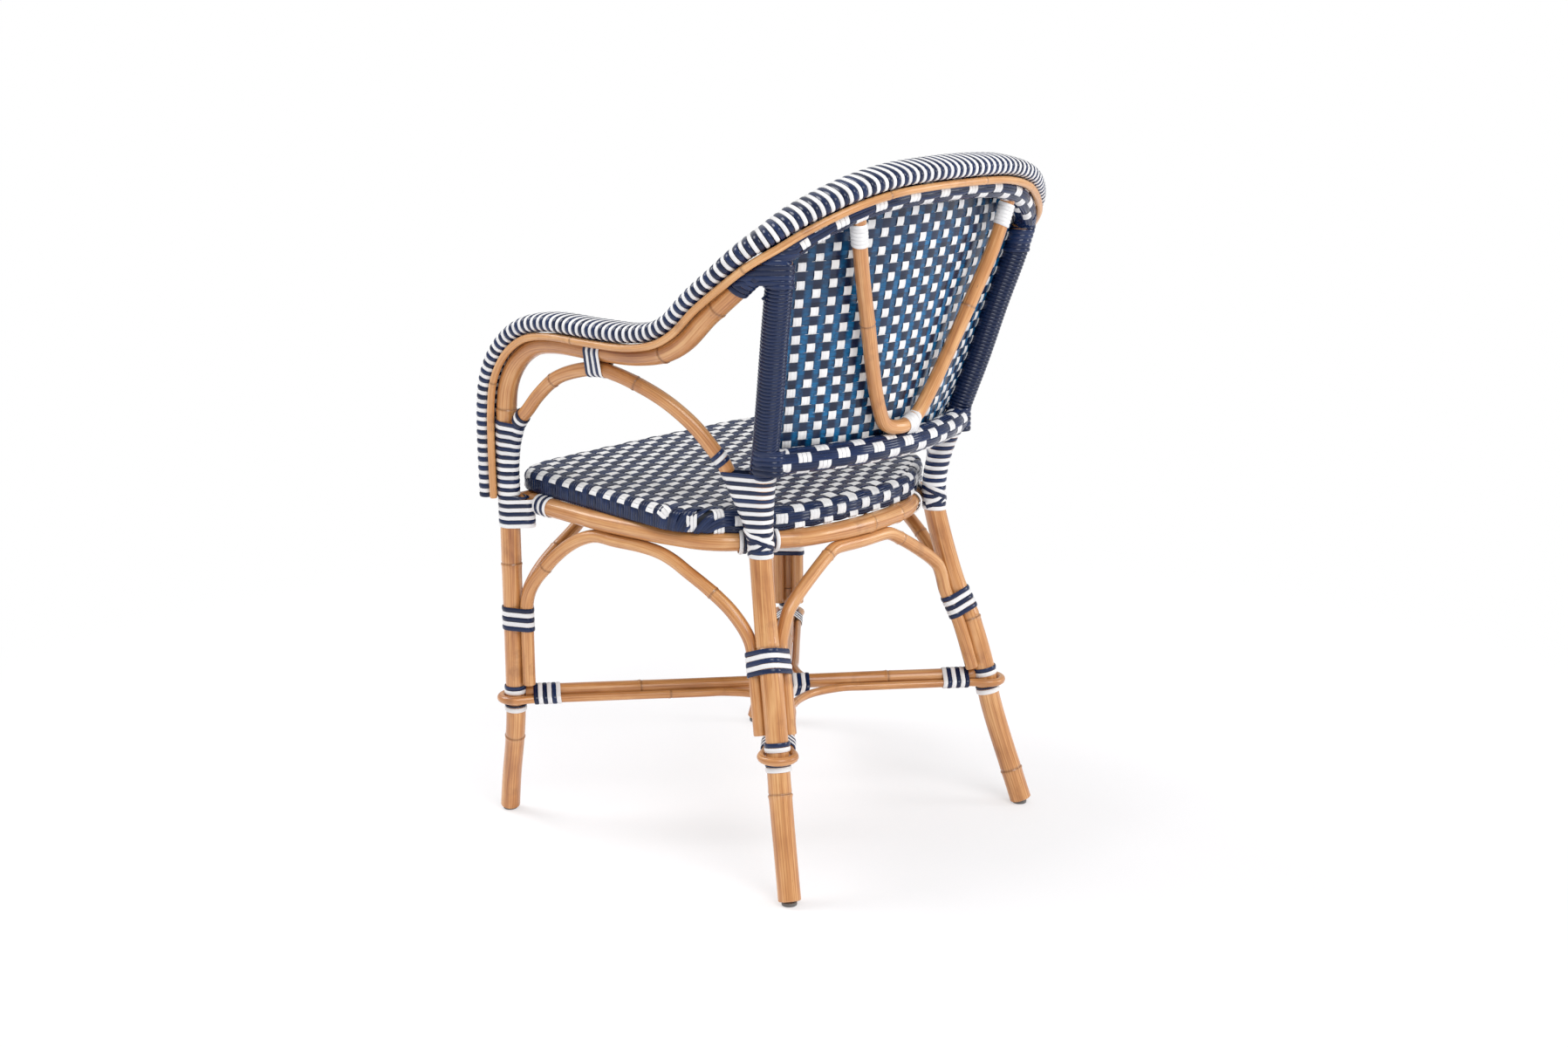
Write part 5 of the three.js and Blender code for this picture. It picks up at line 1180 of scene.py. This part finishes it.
# Lining under the strands
liner = {"depth": -1.6, "beyond": (0.01, 4, 8, 12, 17.2, 24, 30), "wall": 0.8}
rimOut = unit(np.roll(rimRing, -1, axis=0) - np.roll(rimRing, 1, axis=0))
rimOut = np.column_stack([rimOut[:, 1], -rimOut[:, 0]])
sides = len(rimRing)
loops = [onSeat(rimRing + rimOut * e, np.full(sides, liner["depth"]))[0] for e in liner["beyond"]]
faces = [list(range(sides))]
for k in range(len(loops) - 1):
    for j in range(sides):
        n = (j + 1) % sides
        faces.append([k * sides + j, (k + 1) * sides + j, (k + 1) * sides + n, k * sides + n])
linerMesh = bpy.data.meshes.new("seatLining")
linerMesh.from_pydata((np.vstack(loops) * mm).tolist(), [], faces)
linerMesh.materials.append(lining)
linerPiece = bpy.data.objects.new("seatLining", linerMesh)
bpy.context.collection.objects.link(linerPiece)
only(linerPiece)
wall = linerPiece.modifiers.new("wall", "SOLIDIFY")
wall.thickness = liner["wall"] * mm
wall.offset = -1
bpy.ops.object.modifier_apply(modifier=wall.name)
settle(linerPiece)
print("seat lined")


# Woven back: white strands upright and fanning out, navy strands across
back = {
    "columns": 20, "row": 11.2, "wave": 0.75, "thick": 0.8, "white": 3.62, "navy": 5.7, "depth": 12.2,
    "low": 538.0, "top": 846, "widest": 0.97, "samples": 196, "belowHoop": 5,
    "railY": 192.6, "railZ": 530, "hoopY": 267, "hoopZ": 851, "hoopFrom": 205,
}


def onBack(shares, heights, rise):
    def spot(s, z):
        x, y = (np.interp(np.minimum(z, backPostTop[2]), backPole[:, 2], backPole[:, k]) for k in (0, 1))
        climb = (z - back["railZ"]) / (back["hoopZ"] - back["railZ"])
        middle = back["railY"] + climb * (back["hoopY"] - back["railY"])
        return np.column_stack([s * x, middle - (middle - y) * s ** 2, z])
    acrossWay = spot(shares + 0.01, heights) - spot(shares - 0.01, heights)
    upWay = spot(shares, heights + 1) - spot(shares, heights - 1)
    forward = unit(np.cross(acrossWay, upWay))
    return spot(shares, heights) + forward * (back["depth"] + np.asarray(rise))[:, None], forward


hoopSide = ridge[np.argmax(ridge[:, 1] > back["hoopFrom"]):halfCount]


def underHoop(spots, heights):
    return np.interp(np.abs(spots[:, 0]), hoopSide[::-1, 0], hoopSide[::-1, 2]) - back["belowHoop"] > heights


# Marks on the cross strands are the stretches between two columns, where light comes through
panel = Piece("backCrossStrands")
shares = np.linspace(-back["widest"], back["widest"], back["samples"])
columnAt = shares * back["columns"] / 2 - 0.5
marks = np.clip((np.abs(columnAt - np.round(columnAt)) - 0.24) / 0.1, 0, 1)
for row in range(int((back["top"] - back["low"]) / back["row"])):
    rise = back["wave"] * np.cos(math.pi * (columnAt + row))
    for j in (-0.5, 0.5):
        heights = np.full(len(shares), back["low"] + (row + 0.5) * back["row"] + j * back["row"] / 2)
        spots, facing = onBack(shares, heights, rise)
        kept = underHoop(spots, heights)
        if kept.sum() > 6:
            run = keepRun(kept)
            glow = draw.uniform(0.3, 1.0)
            addStrip(panel, spots[run], facing[run], back["navy"], back["thick"], shade(), 0, marks=marks[run] * glow)
panel.finish(panelStripes, "navy_strip", ("back_panel",))
panel = Piece("backLongStrands")
heights = np.arange(back["low"] - 3, back["top"], back["row"] / 4)
postX = np.interp(np.minimum(heights, backPostTop[2]), backPole[:, 2], backPole[:, 0])
for column in range(-back["columns"] // 2, back["columns"] // 2):
    middle = (column + 0.5) / (back["columns"] / 2)
    rise = -back["wave"] * np.cos(math.pi * (column + (heights - back["low"]) / back["row"] - 0.5))
    for j in (-1, 0, 1):
        spots, facing = onBack(middle + j * back["white"] / postX, heights, rise)
        kept = underHoop(spots, heights)
        if kept.sum() > 4:
            addStrip(panel, spots[kept], facing[kept], back["white"], back["thick"], shade(), 1)
panel.finish(panelStripes, "white_strip")
print("back woven")


# Glides under the feet
glides = {"radius": 9.5, "depth": 5.0, "front": (243.7, -275.6), "back": (233.15, 224.7), "edge": 1.2}
for end in ("front", "back"):
    for side in ("left", "right"):
        x, y = glides[end]
        place = (x * mm if side == "left" else -x * mm, y * mm, 2.5 * mm)
        bpy.ops.object.select_all(action="DESELECT")
        bpy.ops.mesh.primitive_cylinder_add(
            vertices=32, radius=glides["radius"] * mm, depth=glides["depth"] * mm, location=place,
        )
        glide = bpy.context.object
        glide.name = f"glide_{end}_{side}_pad"
        bpy.ops.object.transform_apply(location=True, rotation=True, scale=True)
        bevel = glide.modifiers.new("edge", "BEVEL")
        bevel.width = glides["edge"] * mm
        bevel.segments = 3
        bpy.ops.object.modifier_apply(modifier=bevel.name)
        glide.data.materials.clear()
        glide.data.materials.append(glideGrey)
        settle(glide, (f"glide_{end}_{side}",))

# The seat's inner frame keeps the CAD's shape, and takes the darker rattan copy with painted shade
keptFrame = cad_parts["seat_frame"]
keptFrame.data.materials.clear()
keptFrame.data.materials.append(shadedRattan)


# Floor: pale paper that fades to white away from the chair, for the camera only
stage = {"floor": 30.0, "world": 0.64, "near": 0.5, "fadeFrom": 0.45, "fadeTo": 1.5}
bpy.ops.object.select_all(action="DESELECT")
bpy.ops.mesh.primitive_plane_add(size=stage["floor"], location=(0, 0, 0))
floor = bpy.context.object
floor.name = "floor"
paper = Finish("floorPaper")
speckle = paper.clouds(400.0, 2.0)
paperColour = paper.ramp(speckle, [(0.3, tint(246, 245, 248)), (0.7, tint(250, 249, 252))])
paper.finish(paperColour, paper.maths("ADD", paper.maths("MULTIPLY", speckle, 0.1), 0.8), speckle, 0.02, 0.0001)
reachOut = paper.node("ShaderNodeVectorMath", operation="LENGTH")
paper.link(paper.node("ShaderNodeTexCoord").outputs["Object"], reachOut.inputs[0])
fade = paper.node("ShaderNodeMapRange", interpolation_type="SMOOTHSTEP")
fadeRange = {"From Min": stage["fadeFrom"], "From Max": stage["fadeTo"], "To Min": stage["near"], "To Max": 1.0}
paper.fill(fade, fadeRange)
paper.link(reachOut.outputs["Value"], fade.inputs["Value"])
looking = paper.node("ShaderNodeLightPath").outputs["Is Camera Ray"]
glow = paper.node("ShaderNodeEmission")
blend = paper.node("ShaderNodeMixShader")
paper.feed(blend.inputs, (
    paper.maths("MULTIPLY", fade.outputs[0], looking), paper.shader.outputs[0], glow.outputs[0],
))
paper.link(blend.outputs[0], paper.tree.nodes["Material Output"].inputs["Surface"])
floor.data.materials.append(paper.material)

# World: white for the camera, dimmer for the light it gives
world = bpy.data.worlds.new("studio")
bpy.context.scene.world = world
world.use_nodes = True
sky = world.node_tree
background = sky.nodes["Background"]
background.inputs["Color"].default_value = (1.0, 1.0, 1.0, 1.0)
rays = sky.nodes.new("ShaderNodeLightPath")
seen = sky.nodes.new("ShaderNodeMath")
seen.operation = "MAXIMUM"
sky.links.new(rays.outputs["Is Camera Ray"], seen.inputs[0])
sky.links.new(rays.outputs["Is Transmission Ray"], seen.inputs[1])
strength = sky.nodes.new("ShaderNodeMapRange")
strength.inputs["To Min"].default_value = stage["world"]
strength.inputs["To Max"].default_value = 1.0
sky.links.new(seen.outputs[0], strength.inputs["Value"])
sky.links.new(strength.outputs[0], background.inputs["Strength"])

# Lamps: name, place, size and power
lamps = (
    ("softKey", (1.2, 3.2, 3.4), 2.6, 88.0), ("softFill", (1.2, -2.4, 3.4), 2.2, 84.0),
    ("softLeft", (-2.6, 3.0, 1.6), 1.6, 40.0),
)
lampTarget = Vector((0, 0, 0.4))
for name, place, size, power in lamps:
    data = bpy.data.lights.new(name, "AREA")
    data.shape = "DISK"
    data.size = size
    data.energy = power
    light = bpy.data.objects.new(name, data)
    bpy.context.collection.objects.link(light)
    light.location = place
    light.rotation_euler = (lampTarget - Vector(place)).to_track_quat("-Z", "Y").to_euler()
print("stage set")
